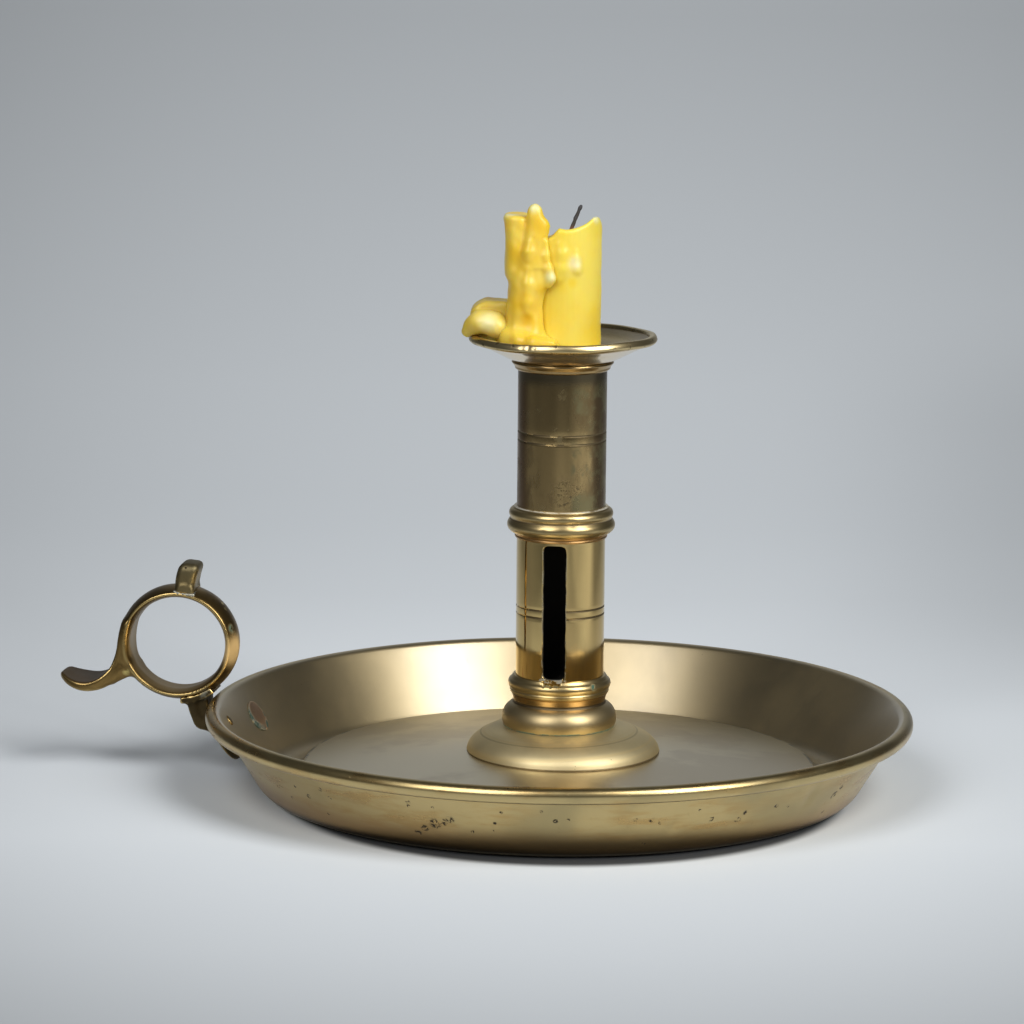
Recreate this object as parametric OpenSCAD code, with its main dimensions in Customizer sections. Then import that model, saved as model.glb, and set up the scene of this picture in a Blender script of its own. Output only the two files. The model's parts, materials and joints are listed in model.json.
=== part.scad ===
/* [Pan] */
// Radius over the rolled rim
pan_r = 96.3; // [94:0.1:99]
// Height of the rim above the table
pan_h = 22.15; // [21:0.05:24]
// Section radius of the rolled rim
rim_roll_r = 2.2; // [1.9:0.1:2.5]
// Lean of the wall from upright, in degrees
wall_flare = 31.7; // [29:0.1:34]
// Thickness of the brass sheet
sheet = 1.2; // [1:0.1:1.4]
// Radius of the crease round the raised floor
crease_r = 69.6; // [66:0.1:71]
// Height of that crease above the table
crease_h = 6.5; // [5:0.1:7.5]
// Height of the floor's middle above the table
floor_h = 11.4; // [10.5:0.1:12]

/* [Stem] */
// Outer radius of the tube
tube_r = 12; // [11.8:0.1:12.2]
// Wall thickness of the tube
tube_wall = 1.2; // [1:0.1:1.3]
// Height of the tube's top end
tube_top = 118.5; // [118:0.1:119]
// Width of the ejector's slot
slot_w = 6.2; // [5:0.1:7]
// Height of the slot's lower end
slot_bottom = 32; // [30:0.5:34]
// Height of the slot's upper end
slot_top = 68.8; // [66:0.1:69]
// Radius of the domed boss at its foot
boss_r = 26.4; // [24:0.1:28]

/* [Drip pan] */
// Outer radius of the drip pan
drip_r = 25.4; // [24:0.05:26]
// Height of its rim above the table
drip_h = 125; // [124.6:0.1:126]
// Section radius of its beaded rim
drip_bead_r = 1.2; // [0.9:0.1:1.3]

/* [Handle] */
// Inner radius of the finger ring
ring_in_r = 13.3; // [12.6:0.1:13.4]
// Thickness of the ring's strap in its middle
strap_t = 3.1; // [2.9:0.1:3.2]
// Width of the strap
strap_w = 11.6; // [10:0.2:12]
// Half width of the tail's paddle
paddle_r = 8.5; // [7:0.1:9]

/* [Candle] */
// Radius of the candle
candle_r = 10.1; // [9.6:0.1:10.3]
// Height of the candle's highest edge above the table
candle_top = 157; // [154:0.5:158]
// How far the melted side and the wax runs are turned from the slot, in degrees
candle_turn = 8; // [0:1:20]

/* [Hidden] */
$fn = 96;
slack = 1;

// The pan's section. Its wall is a straight line that meets the roll as a tangent.
wire_r = 1.1;
rim_c = [pan_r - rim_roll_r, pan_h - rim_roll_r];
lean = tan(wall_flare);
wall_in_r0 = rim_c[0] - lean * rim_c[1] - rim_roll_r / cos(wall_flare);
wall_out_r0 = wall_in_r0 + sheet / cos(wall_flare);
foot_round = 7;
foot_c = [wall_out_r0 + lean * foot_round - foot_round / cos(wall_flare), foot_round];
moat_r = 73.4;
floor_flat_r = 12;
floor_slope = (floor_h - crease_h) / (crease_r - floor_flat_r);

// The stem's joints: tenon, plug, washer and seats
tenon_r = 4;
tube_in_r = tube_r - tube_wall;
tube_seat = 13;
boss_top = 17.5;
boss_edge = 0.6;
plug_top = 30;
washer_r = 9;
washer_t = 1.4;
peen_h = 1.2;
floor_under = floor_h - sheet;
scribe_heights = [48.6, 50.6, 96, 98.3];
scribe_depth = 0.15;
scribe_w = 0.35;
slot_corner = 1.35;
collar_top = 31.6;
mid_foot = 69.4;
mid_top = 78;
neck_foot = 114.2;
neck_top = 117.7;

// The ejector: a skirted plunger with a friction leaf
cup_top = 80;
cup_r = 10.5;
cup_disc_t = 1.2;
skirt_r = 9.3;
skirt_wall = 0.8;
cup_foot = 70.5;
shank_hole_r = 1.2;
leaf_w = 5;
leaf_t = 0.4;
leaf_bow_r = 7.2;

// The handle: the ring's axis lies across the -X side
ring_c = [-105.6, 36.3];
ring_out_r = ring_in_r + strap_t;
strap_dome = 2;
paddle_x = -131;
tail_top_c = [-131, 32.7];
tail_top_r = 7.5;
tail_under_c = [-128.3, 35.2];
tail_under_r = 12.5;
tail_tip_x = paddle_x - paddle_r;
leaf_plate_t = 2.2;
roll_gap = 0.15;
neck_t = 2.2;
neck_w = 10;

// Rivets: angle from -X towards +Y, distance up the wall's slope
big_rivet = [8, 14.7];
big_shank_r = 2.3;
big_head_r = 4.6;
little_rivet = [-8, 19.6];
little_shank_r = 1;
little_head_r = 1.7;
lobe_side = [12.2, 15.4];
lobe_side_r = 6.5;
lobe_mid = 12.5;
lobe_mid_r = 6;

// The candle stands on the plunger, clear of tube and drip pan
candle_foot = cup_top + 0.3;
wick_r = 0.55;
wick_x = 1.5;
wick_bend_h = 150.5;
wick_tip = [5, 159];
wax_gap = 0.3;

brass = [0.62, 0.52, 0.31];
brass_dark = [0.5, 0.41, 0.23];
brass_gold = [0.72, 0.55, 0.26];
copper = [0.55, 0.31, 0.24];
iron = [0.3, 0.29, 0.28];
wax = [0.96, 0.82, 0.22];
wax_pale = [0.95, 0.87, 0.42];

// Points on an arc from angle a0 to a1 about c
function arc(c, r, a0, a1, n = 8) =
    [for (i = [0:n]) let (a = a0 + (a1 - a0) * i / n) c + r * [cos(a), sin(a)]];

// Height of the sloping floor's top face at radius r
function floor_at(r) = floor_h - max(0, r - floor_flat_r) * floor_slope;

// The dish inside the drip pan, seen in section
drip_c = [drip_r - drip_bead_r, drip_h - drip_bead_r];
dish_in = [[tube_in_r, 120.2], [13.5, 120.5], [18, 121.8], [drip_c[0] - 0.9, drip_c[1] + 0.3]];

// A ring about +Z with a flat band as its section
module band(r0, r1, z0, z1) {
    rotate_extrude() translate([r0, z0]) square([r1 - r0, z1 - z0]);
}

// Moves to a spot on the wall's outer face: +X is then the normal into the pan
module on_wall(spot) {
    rotate([0, 0, -spot[0]])
        translate([-wall_out_r0, 0, 0])
            rotate([0, -wall_flare, 0])
                translate([0, 0, spot[1]])
                    children();
}

// Stands a section drawn in X and Z upright, w wide across Y
module across(w) {
    rotate([90, 0, 0]) linear_extrude(w, center = true) children();
}

module rivet_shank(spot, r) {
    on_wall(spot) translate([-6, 0, 0]) rotate([0, 90, 0]) cylinder(r = r, h = 6 + sheet);
}

module pan() {
    top_side = [
        [tenon_r, floor_h],
        [floor_flat_r, floor_h],
        [crease_r, crease_h],
        [moat_r, sheet]
    ];
    under_side = [
        [moat_r - 0.6, 0],
        [crease_r - 0.7, crease_h - sheet],
        [floor_flat_r, floor_under],
        [tenon_r, floor_under]
    ];
    wall_in_top = rim_c + rim_roll_r * [-cos(wall_flare), sin(wall_flare)];
    wall_out_top = wall_in_top + sheet * [cos(wall_flare), -sin(wall_flare)];
    color(brass) difference() {
        union() {
            rotate_extrude($fn = 180) polygon(concat(
                top_side,
                arc(foot_c, foot_round - sheet, -90, -wall_flare),
                [wall_in_top, wall_out_top],
                arc(foot_c, foot_round, -wall_flare, -90),
                under_side));
            rotate_extrude($fn = 180) translate(rim_c) circle(rim_roll_r, $fn = 40);
        }
        rotate_extrude($fn = 180) translate(rim_c) circle(wire_r, $fn = 24);
        rivet_shank(big_rivet, big_shank_r);
        rivet_shank(little_rivet, little_shank_r);
    }
}

module rim_wire() {
    color(iron) rotate_extrude($fn = 180) translate(rim_c) circle(wire_r, $fn = 24);
}

// The dome is a quarter of an ellipse that starts at the foot's edge
module stem_boss() {
    dome_in = 10;
    dome_h = (boss_top - floor_at(boss_r) - boss_edge) * 1.05;
    dome = [for (a = [0:8:72])
        [dome_in + (boss_r - dome_in) * cos(a), floor_at(boss_r) + boss_edge + dome_h * sin(a)]];
    color(brass) rotate_extrude() polygon(concat(
        [[tenon_r, floor_h], [floor_flat_r, floor_h], [boss_r, floor_at(boss_r)]],
        dome,
        [[tube_r, boss_top], [tube_r, tube_seat], [tenon_r, tube_seat]]));
}

module base_collar() {
    lip_nick = [5.2, 4, 3];
    color(brass_gold) difference() {
        rotate_extrude() polygon(concat(
            [[tube_r, boss_top]],
            arc([11, 19.6], 4.6, -27.2, 70, 14),
            [[12.6, 24.4], [13.7, 28]],
            arc([12.4, 29.3], 1.55, -25, 75, 9),
            [[12.6, collar_top], [tube_r, collar_top]]));
        translate([-lip_nick[0] / 2, -tube_r - lip_nick[1] + 1, 30.2]) cube(lip_nick);
    }
}

module stem_tube() {
    color(brass_dark) difference() {
        translate([0, 0, tube_seat]) cylinder(r = tube_r, h = tube_top - tube_seat);
        translate([0, 0, tube_seat - slack])
            cylinder(r = tube_in_r, h = tube_top - tube_seat + 2 * slack);
        slot_cut();
        for (z = scribe_heights)
            band(tube_r - scribe_depth, tube_r + slack, z, z + scribe_w);
    }
}

module slot_cut() {
    x = slot_w / 2 - slot_corner;
    low = slot_bottom + slot_corner;
    high = slot_top - slot_corner;
    rotate([90, 0, 0]) linear_extrude(tube_r + slack) polygon(concat(
        arc([x, low], slot_corner, -90, 0, 5),
        arc([x, high], slot_corner, 0, 90, 5),
        arc([-x, high], slot_corner, 90, 180, 5),
        arc([-x, low], slot_corner, 180, 270, 5)));
}

module mid_collar() {
    color(brass_gold) rotate_extrude() polygon(concat(
        [[tube_r, mid_foot], [12.45, mid_foot], [12.5, 70.6]],
        arc([12.5, 72.9], 2.1, -78, 48, 12),
        arc([12.6, 76.05], 1.5, -48, 70, 10),
        [[12.7, 77.8], [12.5, mid_top], [tube_r, mid_top]]));
}

module neck_ring() {
    color(brass_gold) rotate_extrude() polygon([
        [tube_r, neck_foot],
        [12.3, neck_foot],
        [12.5, neck_foot + 0.4],
        [13.8, 117],
        [13.7, 117.5],
        [13.4, neck_top],
        [tube_r, neck_top]
    ]);
}

module drip_pan() {
    under = [[drip_c[0], drip_c[1] - 1], [20.5, 121.3], [18.4, 120.1], [15, 118.3], [13.2, neck_top]];
    color(brass) union() {
        rotate_extrude($fn = 128) polygon(concat(
            dish_in,
            [drip_c],
            under,
            [[tube_r, neck_top], [tube_r, tube_top], [tube_in_r, tube_top]]));
        rotate_extrude($fn = 128) translate(drip_c) circle(drip_bead_r, $fn = 32);
    }
}

// The peened end is a low dome under the washer
module stem_plug() {
    peen_r = 5.6;
    head_z = floor_under - washer_t;
    color(brass_dark) {
        translate([0, 0, tube_seat]) cylinder(r = tube_in_r, h = plug_top - tube_seat);
        translate([0, 0, head_z]) cylinder(r = tenon_r, h = tube_seat - head_z);
        translate([0, 0, head_z - peen_h]) cylinder(r1 = tenon_r, r2 = peen_r, h = peen_h);
    }
}

module tenon_washer() {
    color(brass) band(tenon_r, washer_r, floor_under - washer_t, floor_under);
}

module ejector_cup() {
    shank_z = cup_foot + 2.4;
    color(brass_dark) difference() {
        union() {
            translate([0, 0, cup_top - cup_disc_t]) cylinder(r = cup_r, h = cup_disc_t);
            translate([0, 0, cup_foot]) cylinder(r = skirt_r, h = cup_top - cup_foot);
        }
        translate([0, 0, cup_foot - slack])
            cylinder(r = skirt_r - skirt_wall, h = cup_top - cup_disc_t - cup_foot + slack);
        translate([0, 0, shank_z]) rotate([90, 0, 0]) cylinder(r = shank_hole_r, h = cup_r);
    }
}

// A bowed strip: its two ends bear on the skirt and its crown rubs on the tube
module ejector_spring() {
    crown_y = 10.35;
    mid_z = (cup_foot + cup_top - cup_disc_t) / 2;
    half_span = 3.5;
    color(brass_gold) rotate([90, 0, 90]) linear_extrude(leaf_w, center = true) intersection() {
        difference() {
            translate([crown_y - leaf_bow_r, mid_z]) circle(leaf_bow_r);
            translate([crown_y - leaf_bow_r, mid_z]) circle(leaf_bow_r - leaf_t);
        }
        translate([skirt_r, mid_z - half_span]) square([2, 2 * half_span]);
    }
}

// The strap's section is flat inside and slightly domed outside
module ring_section(r0) {
    dome_r = (strap_w * strap_w / 4 + strap_dome * strap_dome) / (2 * strap_dome);
    intersection() {
        translate([r0, -strap_w / 2]) square([ring_out_r - r0, strap_w]);
        translate([ring_out_r - dome_r, 0]) circle(dome_r, $fn = 180);
    }
}

module at_ring() {
    translate([ring_c[0], 0, ring_c[1]]) rotate([90, 0, 0]) children();
}

module tail_outline() {
    polygon(concat(
        [ring_c + (ring_out_r - 0.9) * [cos(172), sin(172)]],
        arc(tail_top_c, tail_top_r, -2, -90, 10),
        [[-135.4, 25.7], [-138.4, 26.7]],
        [[tail_tip_x + 0.3, 26.8], [tail_tip_x, 26.3], [tail_tip_x + 0.5, 25.9]],
        [[-136.6, 25]],
        arc(tail_under_c, tail_under_r, -118, -42, 10),
        [ring_c + (ring_in_r + 0.8) * [cos(218), sin(218)]]));
}

// Seen from above, the tail flares from the strap into a round paddle
module paddle_plan() {
    root_x = ring_c[0] - ring_in_r;
    polygon(concat(
        arc([paddle_x, 0], paddle_r, 96, 264, 24),
        [
            [root_x, -strap_w / 2],
            [ring_c[0], -strap_w / 2],
            [ring_c[0], strap_w / 2],
            [root_x, strap_w / 2]
        ]));
}

module handle_ring() {
    color(brass_dark) union() {
        at_ring() rotate_extrude($fn = 120) ring_section(ring_in_r);
        difference() {
            intersection() {
                across(2 * paddle_r + 2) tail_outline();
                linear_extrude(60) paddle_plan();
            }
            at_ring() cylinder(r = ring_in_r + 0.4, h = 40, center = true);
        }
    }
}

// A horn that leans towards the stem, thinner towards its top
module thumb_rest() {
    horn_side = concat(
        [[-101, 49], [-105.7, 49], [-105.6, 53.4]],
        arc([-102.4, 55.6], 3, 180, 90, 6),
        [[-101.1, 58.6], [-100.2, 58.1], [-99.9, 57.2], [-100.3, 55.4], [-100.9, 52.6]]);
    horn_front = concat(
        [[4.9, 48]],
        arc([3.1, 57.2], 1.8, 0, 90, 4),
        arc([-3.1, 57.2], 1.8, 90, 180, 4),
        [[-4.9, 48]]);
    color(brass) difference() {
        intersection() {
            across(strap_w) polygon(horn_side);
            rotate([90, 0, 90]) linear_extrude(300, center = true) polygon(horn_front);
        }
        at_ring() rotate_extrude($fn = 120) ring_section(0);
    }
}

module leaf_outline() {
    circle_at(lobe_side[0], lobe_side[1], lobe_side_r);
    circle_at(-lobe_side[0], lobe_side[1], lobe_side_r);
    circle_at(0, lobe_mid, lobe_mid_r);
    translate([-lobe_side[0], lobe_side[1] - 4.5]) square([2 * lobe_side[0], 9]);
}

module circle_at(x, y, r) {
    translate([x, y]) circle(r, $fn = 48);
}

// The neck's path: out under the roll, then up to the ring
module neck_outline() {
    bend_c = [-98.7, 16.4];
    bend_r = 4.2;
    saddle_a = [-104, -50];
    polygon(concat(
        [[-89.5, 10.2]],
        arc(bend_c, bend_r, 270, 180, 8),
        [[-103.6, 21.6], [-103.6 + neck_t, 21.6]],
        arc(bend_c, bend_r - neck_t, 180, 270, 8),
        [[-89.5, 10.2 + neck_t + 0.6]]));
    difference() {
        translate(ring_c) circle(ring_out_r + 1);
        translate(ring_c) circle(ring_out_r - strap_dome);
        polygon([
            ring_c,
            ring_c + 40 * [cos(saddle_a[0]), sin(saddle_a[0])],
            ring_c + 60 * [cos(180), sin(180)],
            ring_c + 60 * [cos(90), sin(90)],
            ring_c + 60 * [cos(0), sin(0)],
            ring_c + 40 * [cos(saddle_a[1]), sin(saddle_a[1])]
        ]);
    }
}

module handle_bracket() {
    color(brass_dark) difference() {
        union() {
            on_wall([0, 0]) rotate([90, 0, -90]) linear_extrude(leaf_plate_t) leaf_outline();
            across(neck_w) neck_outline();
        }
        rotate_extrude($fn = 180) pan_clearance();
        rotate_extrude($fn = 180) translate(rim_c) circle(rim_roll_r + roll_gap, $fn = 40);
        rivet_shank(big_rivet, big_shank_r);
        rivet_shank(little_rivet, little_shank_r);
        at_ring() rotate_extrude($fn = 120) ring_section(0);
    }
}

// What the pan's wall takes up, so that the leaf beds on it
module pan_clearance() {
    polygon([[0, 0], [wall_out_r0, 0], [wall_out_r0 + lean * 24, 24], [0, 24]]);
}

module rivet(spot, shank_r, head_r, head_h, tail_x) {
    rivet_shank_solid(spot, shank_r, tail_x);
    on_wall(spot) translate([sheet, 0, 0]) rotate([0, 90, 0])
        cylinder(r1 = head_r, r2 = head_r * 0.88, h = head_h);
    on_wall(spot) translate([tail_x - 0.8, 0, 0]) rotate([0, 90, 0])
        cylinder(r1 = shank_r, r2 = shank_r * 1.4, h = 0.8);
}

module rivet_shank_solid(spot, r, tail_x) {
    on_wall(spot) translate([tail_x, 0, 0]) rotate([0, 90, 0])
        cylinder(r = r, h = sheet - tail_x);
}

module copper_rivet() {
    color(copper) rivet(big_rivet, big_shank_r, big_head_r, 0.9, -leaf_plate_t - 0.9);
}

module small_rivet() {
    color(brass) rivet(little_rivet, little_shank_r, little_head_r, 0.7, -leaf_plate_t - 0.8);
}

// The burnt top falls from a high edge on the right to a hollow on the left
module candle() {
    color(wax) rotate([0, 0, candle_turn]) difference() {
        translate([0, 0, candle_foot]) cylinder(r = candle_r, h = candle_top - candle_foot);
        translate([-5, 0, candle_top + 13.2]) rotate([90, 0, 0])
            cylinder(r = 17.5, h = 40, center = true);
        wick_shape(0.05);
    }
}

module wick_shape(extra) {
    lean_x = wick_tip[0] - wick_x;
    rise = wick_tip[1] - wick_bend_h;
    translate([wick_x, 0, candle_foot])
        cylinder(r = wick_r + extra, h = wick_bend_h - candle_foot, $fn = 24);
    translate([wick_x, 0, wick_bend_h - 0.5]) rotate([0, atan2(lean_x, rise), 0])
        cylinder(r = wick_r - 0.1 + extra, h = norm([lean_x, rise]) + 0.5, $fn = 24);
}

module wick() {
    color([0.2, 0.19, 0.2]) rotate([0, 0, candle_turn]) wick_shape(0);
}

// A turned run of wax: pairs of radius and height
module wax_run(at, rings) {
    translate([at[0], at[1], 0]) rotate_extrude($fn = 48)
        polygon(concat([[0, rings[0][1]]], rings, [[0, rings[len(rings) - 1][1]]]));
}

// A turned wall of wax round the candle, from angle a0 over the sweep given
module wax_wall(a0, sweep, outline) {
    rotate([0, 0, a0]) rotate_extrude(angle = sweep, $fn = 128) polygon(outline);
}

module wax_gutter() {
    inner = candle_r - 0.7;
    color(wax_pale) rotate([0, 0, candle_turn]) difference() {
        union() {
            wax_wall(158, 56, [
                [inner, 119], [17.4, 119], [17.4, 126.2], [15.6, 130], [15.1, 136], [14.7, 139],
                [15.7, 144], [15.7, 154.6], [15, 156.1], [13.2, 156.6], [11, 155.6], [inner, 154.2]
            ]);
            wax_run([-6.6, -9.4], [
                [3.8, 119.4], [3.8, 125.4], [3.2, 127.6], [2.3, 131], [2.2, 135], [3.3, 138.6],
                [3.6, 141], [3, 145], [2.5, 150], [2.8, 154], [2.3, 157.6], [1.5, 159.8], [0.6, 160.8]
            ]);
            wax_wall(200, 73, [
                [inner, 118], [19.6, 118], [19.6, 124.9], [18.6, 126], [15, 127], [inner, 128]
            ]);
        }
        translate([0, 0, candle_foot]) cylinder(r = candle_r, h = 90);
        drip_clearance();
    }
}

// The dish and rim of the drip pan, grown by the gap that the wax keeps
module drip_clearance() {
    rotate_extrude($fn = 128) polygon(concat(
        [[0, 110], [0, dish_in[0][1] + wax_gap]],
        [for (i = [1:2]) dish_in[i] + [-0.1, wax_gap]],
        arc(drip_c, drip_bead_r + wax_gap, 150, -60, 10),
        [[drip_c[0], 110]]));
}

module wax_spill() {
    color(wax) rotate([0, 0, candle_turn]) difference() {
        union() {
            wax_wall(160, 40, [
                [16, 119], [22, 119], [24.6, 125.4], [25.4, 127.5], [24.8, 131], [22.6, 133.2], [16, 133.6]
            ]);
            translate([-21.6, -7, 127.6]) sphere(4.2, $fn = 48);
            translate([-23.6, -5.4, 127]) sphere(3.9, $fn = 48);
        }
        drip_clearance();
        translate([0, 0, 110]) cylinder(r = 17.4, h = 60);
    }
}

pan();
rim_wire();
stem_boss();
base_collar();
stem_tube();
mid_collar();
neck_ring();
drip_pan();
stem_plug();
tenon_washer();
ejector_cup();
ejector_spring();
handle_ring();
thumb_rest();
handle_bracket();
copper_rivet();
small_rivet();
candle();
wax_gutter();
wax_spill();
wick();
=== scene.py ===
"""A brass chamberstick with a guttered yellow candle stub, on pale paper under two soft boxes."""
import json
import math

import bpy
import numpy as np
from mathutils import Matrix, Vector

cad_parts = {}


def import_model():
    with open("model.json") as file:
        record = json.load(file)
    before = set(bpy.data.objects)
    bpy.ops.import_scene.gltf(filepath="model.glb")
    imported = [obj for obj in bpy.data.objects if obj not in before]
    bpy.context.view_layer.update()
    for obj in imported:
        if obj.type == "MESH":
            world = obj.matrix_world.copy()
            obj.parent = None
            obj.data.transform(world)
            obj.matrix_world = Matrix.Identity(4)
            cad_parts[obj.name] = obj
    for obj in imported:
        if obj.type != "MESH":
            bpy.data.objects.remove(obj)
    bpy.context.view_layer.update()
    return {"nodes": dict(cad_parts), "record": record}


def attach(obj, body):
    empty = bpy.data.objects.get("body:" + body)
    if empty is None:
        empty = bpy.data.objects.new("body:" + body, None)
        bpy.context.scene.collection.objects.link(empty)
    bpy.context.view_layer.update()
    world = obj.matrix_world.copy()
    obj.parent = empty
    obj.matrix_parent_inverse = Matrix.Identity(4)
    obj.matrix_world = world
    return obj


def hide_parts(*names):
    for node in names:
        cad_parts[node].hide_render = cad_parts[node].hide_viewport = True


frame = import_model()
NODES = frame["nodes"]
MM = 0.001


# ---------------------------------------------------------------- sizes, in mm, as in the source

PAN_ROLL = (94.1, 19.95)
PAN_ROLL_R = 2.2
WALL_LEAN = 31.7
SHEET = 1.2
FOOT_C = (76.71, 7.0)
FOOT_R = 7.0
FLOOR_H = 11.4
CREASE = (69.6, 6.5)
MOAT_R = 73.4
TUBE_R = 12.0
TUBE_IN_R = 10.8
SLOT_HALF = 3.1
SLOT_Z = (32.0, 68.8)
RING_C = (-105.6, 36.3)
CANDLE_R = 10.1
CANDLE_TURN = 8.0


# ---------------------------------------------------------------- mesh building

def keep(name, verts, faces, material, body, replaces=(), crease=35.0):
    """A new mesh piece from points in mm, in the row frame."""
    mesh = bpy.data.meshes.new(name)
    verts = np.asarray(verts, float) * MM
    mesh.from_pydata(verts.tolist(), [], faces)
    mesh.validate()
    mesh.polygons.foreach_set("use_smooth", [True] * len(mesh.polygons))
    if crease:
        mesh.set_sharp_from_angle(angle=math.radians(crease))
    mesh.materials.append(material)
    piece = bpy.data.objects.new(name, mesh)
    bpy.context.scene.collection.objects.link(piece)
    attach(piece, body)
    if replaces:
        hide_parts(*replaces)
    return piece


def rounded(corners, closed=False, steps=6):
    """A section line with its corners rounded. Each corner is (x, y) or (x, y, radius)."""
    line = []
    count = len(corners)
    for i, corner in enumerate(corners):
        p = np.array(corner[:2], float)
        radius = corner[2] if len(corner) > 2 else 0.0
        ends = not closed and i in (0, count - 1)
        if radius <= 0 or ends:
            line.append(p)
            continue
        before = np.array(corners[i - 1][:2], float) - p
        after = np.array(corners[(i + 1) % count][:2], float) - p
        la, lb = np.linalg.norm(before), np.linalg.norm(after)
        before, after = before / la, after / lb
        half = math.acos(float(np.clip(before @ after, -1, 1))) / 2
        cut = min(radius / math.tan(half), 0.48 * la, 0.48 * lb)
        radius = cut * math.tan(half)
        middle = (before + after) / np.linalg.norm(before + after)
        centre = p + middle * radius / math.sin(half)
        a, b = p + before * cut - centre, p + after * cut - centre
        turn = math.atan2(a[0] * b[1] - a[1] * b[0], a @ b)
        for k in range(steps + 1):
            s = turn * k / steps
            line.append(centre + np.array([a[0] * math.cos(s) - a[1] * math.sin(s),
                                           a[0] * math.sin(s) + a[1] * math.cos(s)]))
    return np.array(line)


def arc(centre, radius, start, end, steps=16):
    a = np.radians(np.linspace(start, end, steps + 1))
    return [(centre[0] + radius * math.cos(v), centre[1] + radius * math.sin(v)) for v in a]


def even(line, longest):
    """The same line with points added so that no gap is longer than given."""
    out = [line[0]]
    for a, b in zip(line[:-1], line[1:]):
        n = max(1, int(math.ceil(np.linalg.norm(b - a) / longest)))
        out.extend(a + (b - a) * k / n for k in range(1, n + 1))
    return np.array(out)


def turned(name, section, material, body, replaces=(), steps=360, longest=3.0, shape=None, crease=35.0):
    """A closed section (radius, height) turned about the stem's axis; shape may move its points."""
    line = even(np.vstack([section, section[:1]]), longest)[:-1]
    angles = np.arange(steps) * 2 * math.pi / steps
    r = line[:, 0][None, :] * np.ones((steps, 1))
    z = line[:, 1][None, :] * np.ones((steps, 1))
    a = angles[:, None] * np.ones((1, len(line)))
    if shape:
        r, a, z = shape(r, a, z)
    verts = np.stack([r * np.cos(a), r * np.sin(a), z], -1).reshape(-1, 3)
    n = len(line)
    i = np.arange(steps)[:, None]
    j = np.arange(n)[None, :]
    i2, j2 = (i + 1) % steps, (j + 1) % n
    faces = np.stack([i * n + j + 0 * i2, i2 * n + j, i2 * n + j2, i * n + j2 + 0 * i2], -1).reshape(-1, 4)
    if signed_area(line) < 0:
        faces = faces[:, ::-1]
    return keep(name, verts, faces.tolist(), material, body, replaces, crease)


def signed_area(line):
    x, y = line[:, 0], line[:, 1]
    return 0.5 * float(np.sum(x * np.roll(y, -1) - np.roll(x, -1) * y))


# ---------------------------------------------------------------- sculpting with distance fields

CORNERS = [(0, 0, 0), (1, 0, 0), (0, 1, 0), (1, 1, 0), (0, 0, 1), (1, 0, 1), (0, 1, 1), (1, 1, 1)]
EDGES = [(0, 1), (2, 3), (4, 5), (6, 7), (0, 2), (1, 3), (4, 6), (5, 7), (0, 4), (1, 5), (2, 6), (3, 7)]


def net(field, low, high, step):
    """Points and quads of the surface field(x, y, z) = 0, from a grid with that step."""
    axes = [np.arange(a, b + step, step) for a, b in zip(low, high)]
    x, y, z = axes[0][:, None, None], axes[1][None, :, None], axes[2][None, None, :]
    values = np.broadcast_to(field(x, y, z), [len(a) for a in axes]).astype(np.float32)
    inside = values < 0
    nx, ny, nz = (n - 1 for n in values.shape)

    def corner(c, of):
        return of[c[0]:c[0] + nx, c[1]:c[1] + ny, c[2]:c[2] + nz]

    filled = sum(corner(c, inside).astype(np.int8) for c in CORNERS)
    mixed = np.argwhere((filled > 0) & (filled < 8))
    number = np.full((nx, ny, nz), -1, np.int64)
    number[tuple(mixed.T)] = np.arange(len(mixed))
    at = [values[mixed[:, 0] + c[0], mixed[:, 1] + c[1], mixed[:, 2] + c[2]] for c in CORNERS]
    total = np.zeros((len(mixed), 3))
    crossed = np.zeros(len(mixed))
    for a, b in EDGES:
        cut = (at[a] < 0) != (at[b] < 0)
        t = np.where(cut, at[a] / np.where(cut, at[a] - at[b], 1), 0)
        point = np.array(CORNERS[a])[None, :] + t[:, None] * (np.array(CORNERS[b]) - np.array(CORNERS[a]))[None, :]
        total += np.where(cut[:, None], point, 0)
        crossed += cut
    verts = np.array([a[0] for a in axes]) + step * (mixed + total / crossed[:, None])
    faces = []
    for axis in range(3):
        u, v = (axis + 1) % 3, (axis + 2) % 3
        first = [slice(None)] * 3
        second = [slice(None)] * 3
        first[axis], second[axis] = slice(0, -1), slice(1, None)
        one, two = inside[tuple(first)], inside[tuple(second)]
        cells = np.argwhere(one != two)
        cells = cells[(cells[:, u] > 0) & (cells[:, v] > 0)]
        cells = cells[(cells[:, u] < number.shape[u]) & (cells[:, v] < number.shape[v])]
        du, dv = np.eye(3, dtype=int)[u], np.eye(3, dtype=int)[v]
        ring = [cells - du - dv, cells - dv, cells, cells - du]
        quad = np.stack([number[tuple(c.T)] for c in ring], -1)
        solid_first = one[tuple(cells.T)]
        quad = np.where(solid_first[:, None], quad, quad[:, ::-1])
        faces.append(quad[(quad >= 0).all(1)])
    return verts, np.concatenate(faces)


def settle(field, verts, reach, rounds=4):
    """Moves points along the field's slope onto its zero surface."""
    e = 0.02
    for _ in range(rounds):
        x, y, z = verts.T
        f = field(x, y, z)
        g = np.stack([field(x + e, y, z) - field(x - e, y, z), field(x, y + e, z) - field(x, y - e, z),
                      field(x, y, z + e) - field(x, y, z - e)], -1) / (2 * e)
        length2 = np.maximum((g * g).sum(1), 0.04)
        move = -(f / length2)[:, None] * g
        size = np.linalg.norm(move, axis=1, keepdims=True)
        verts = verts + move * np.minimum(1, reach / np.maximum(size, 1e-9))
    return verts


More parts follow.
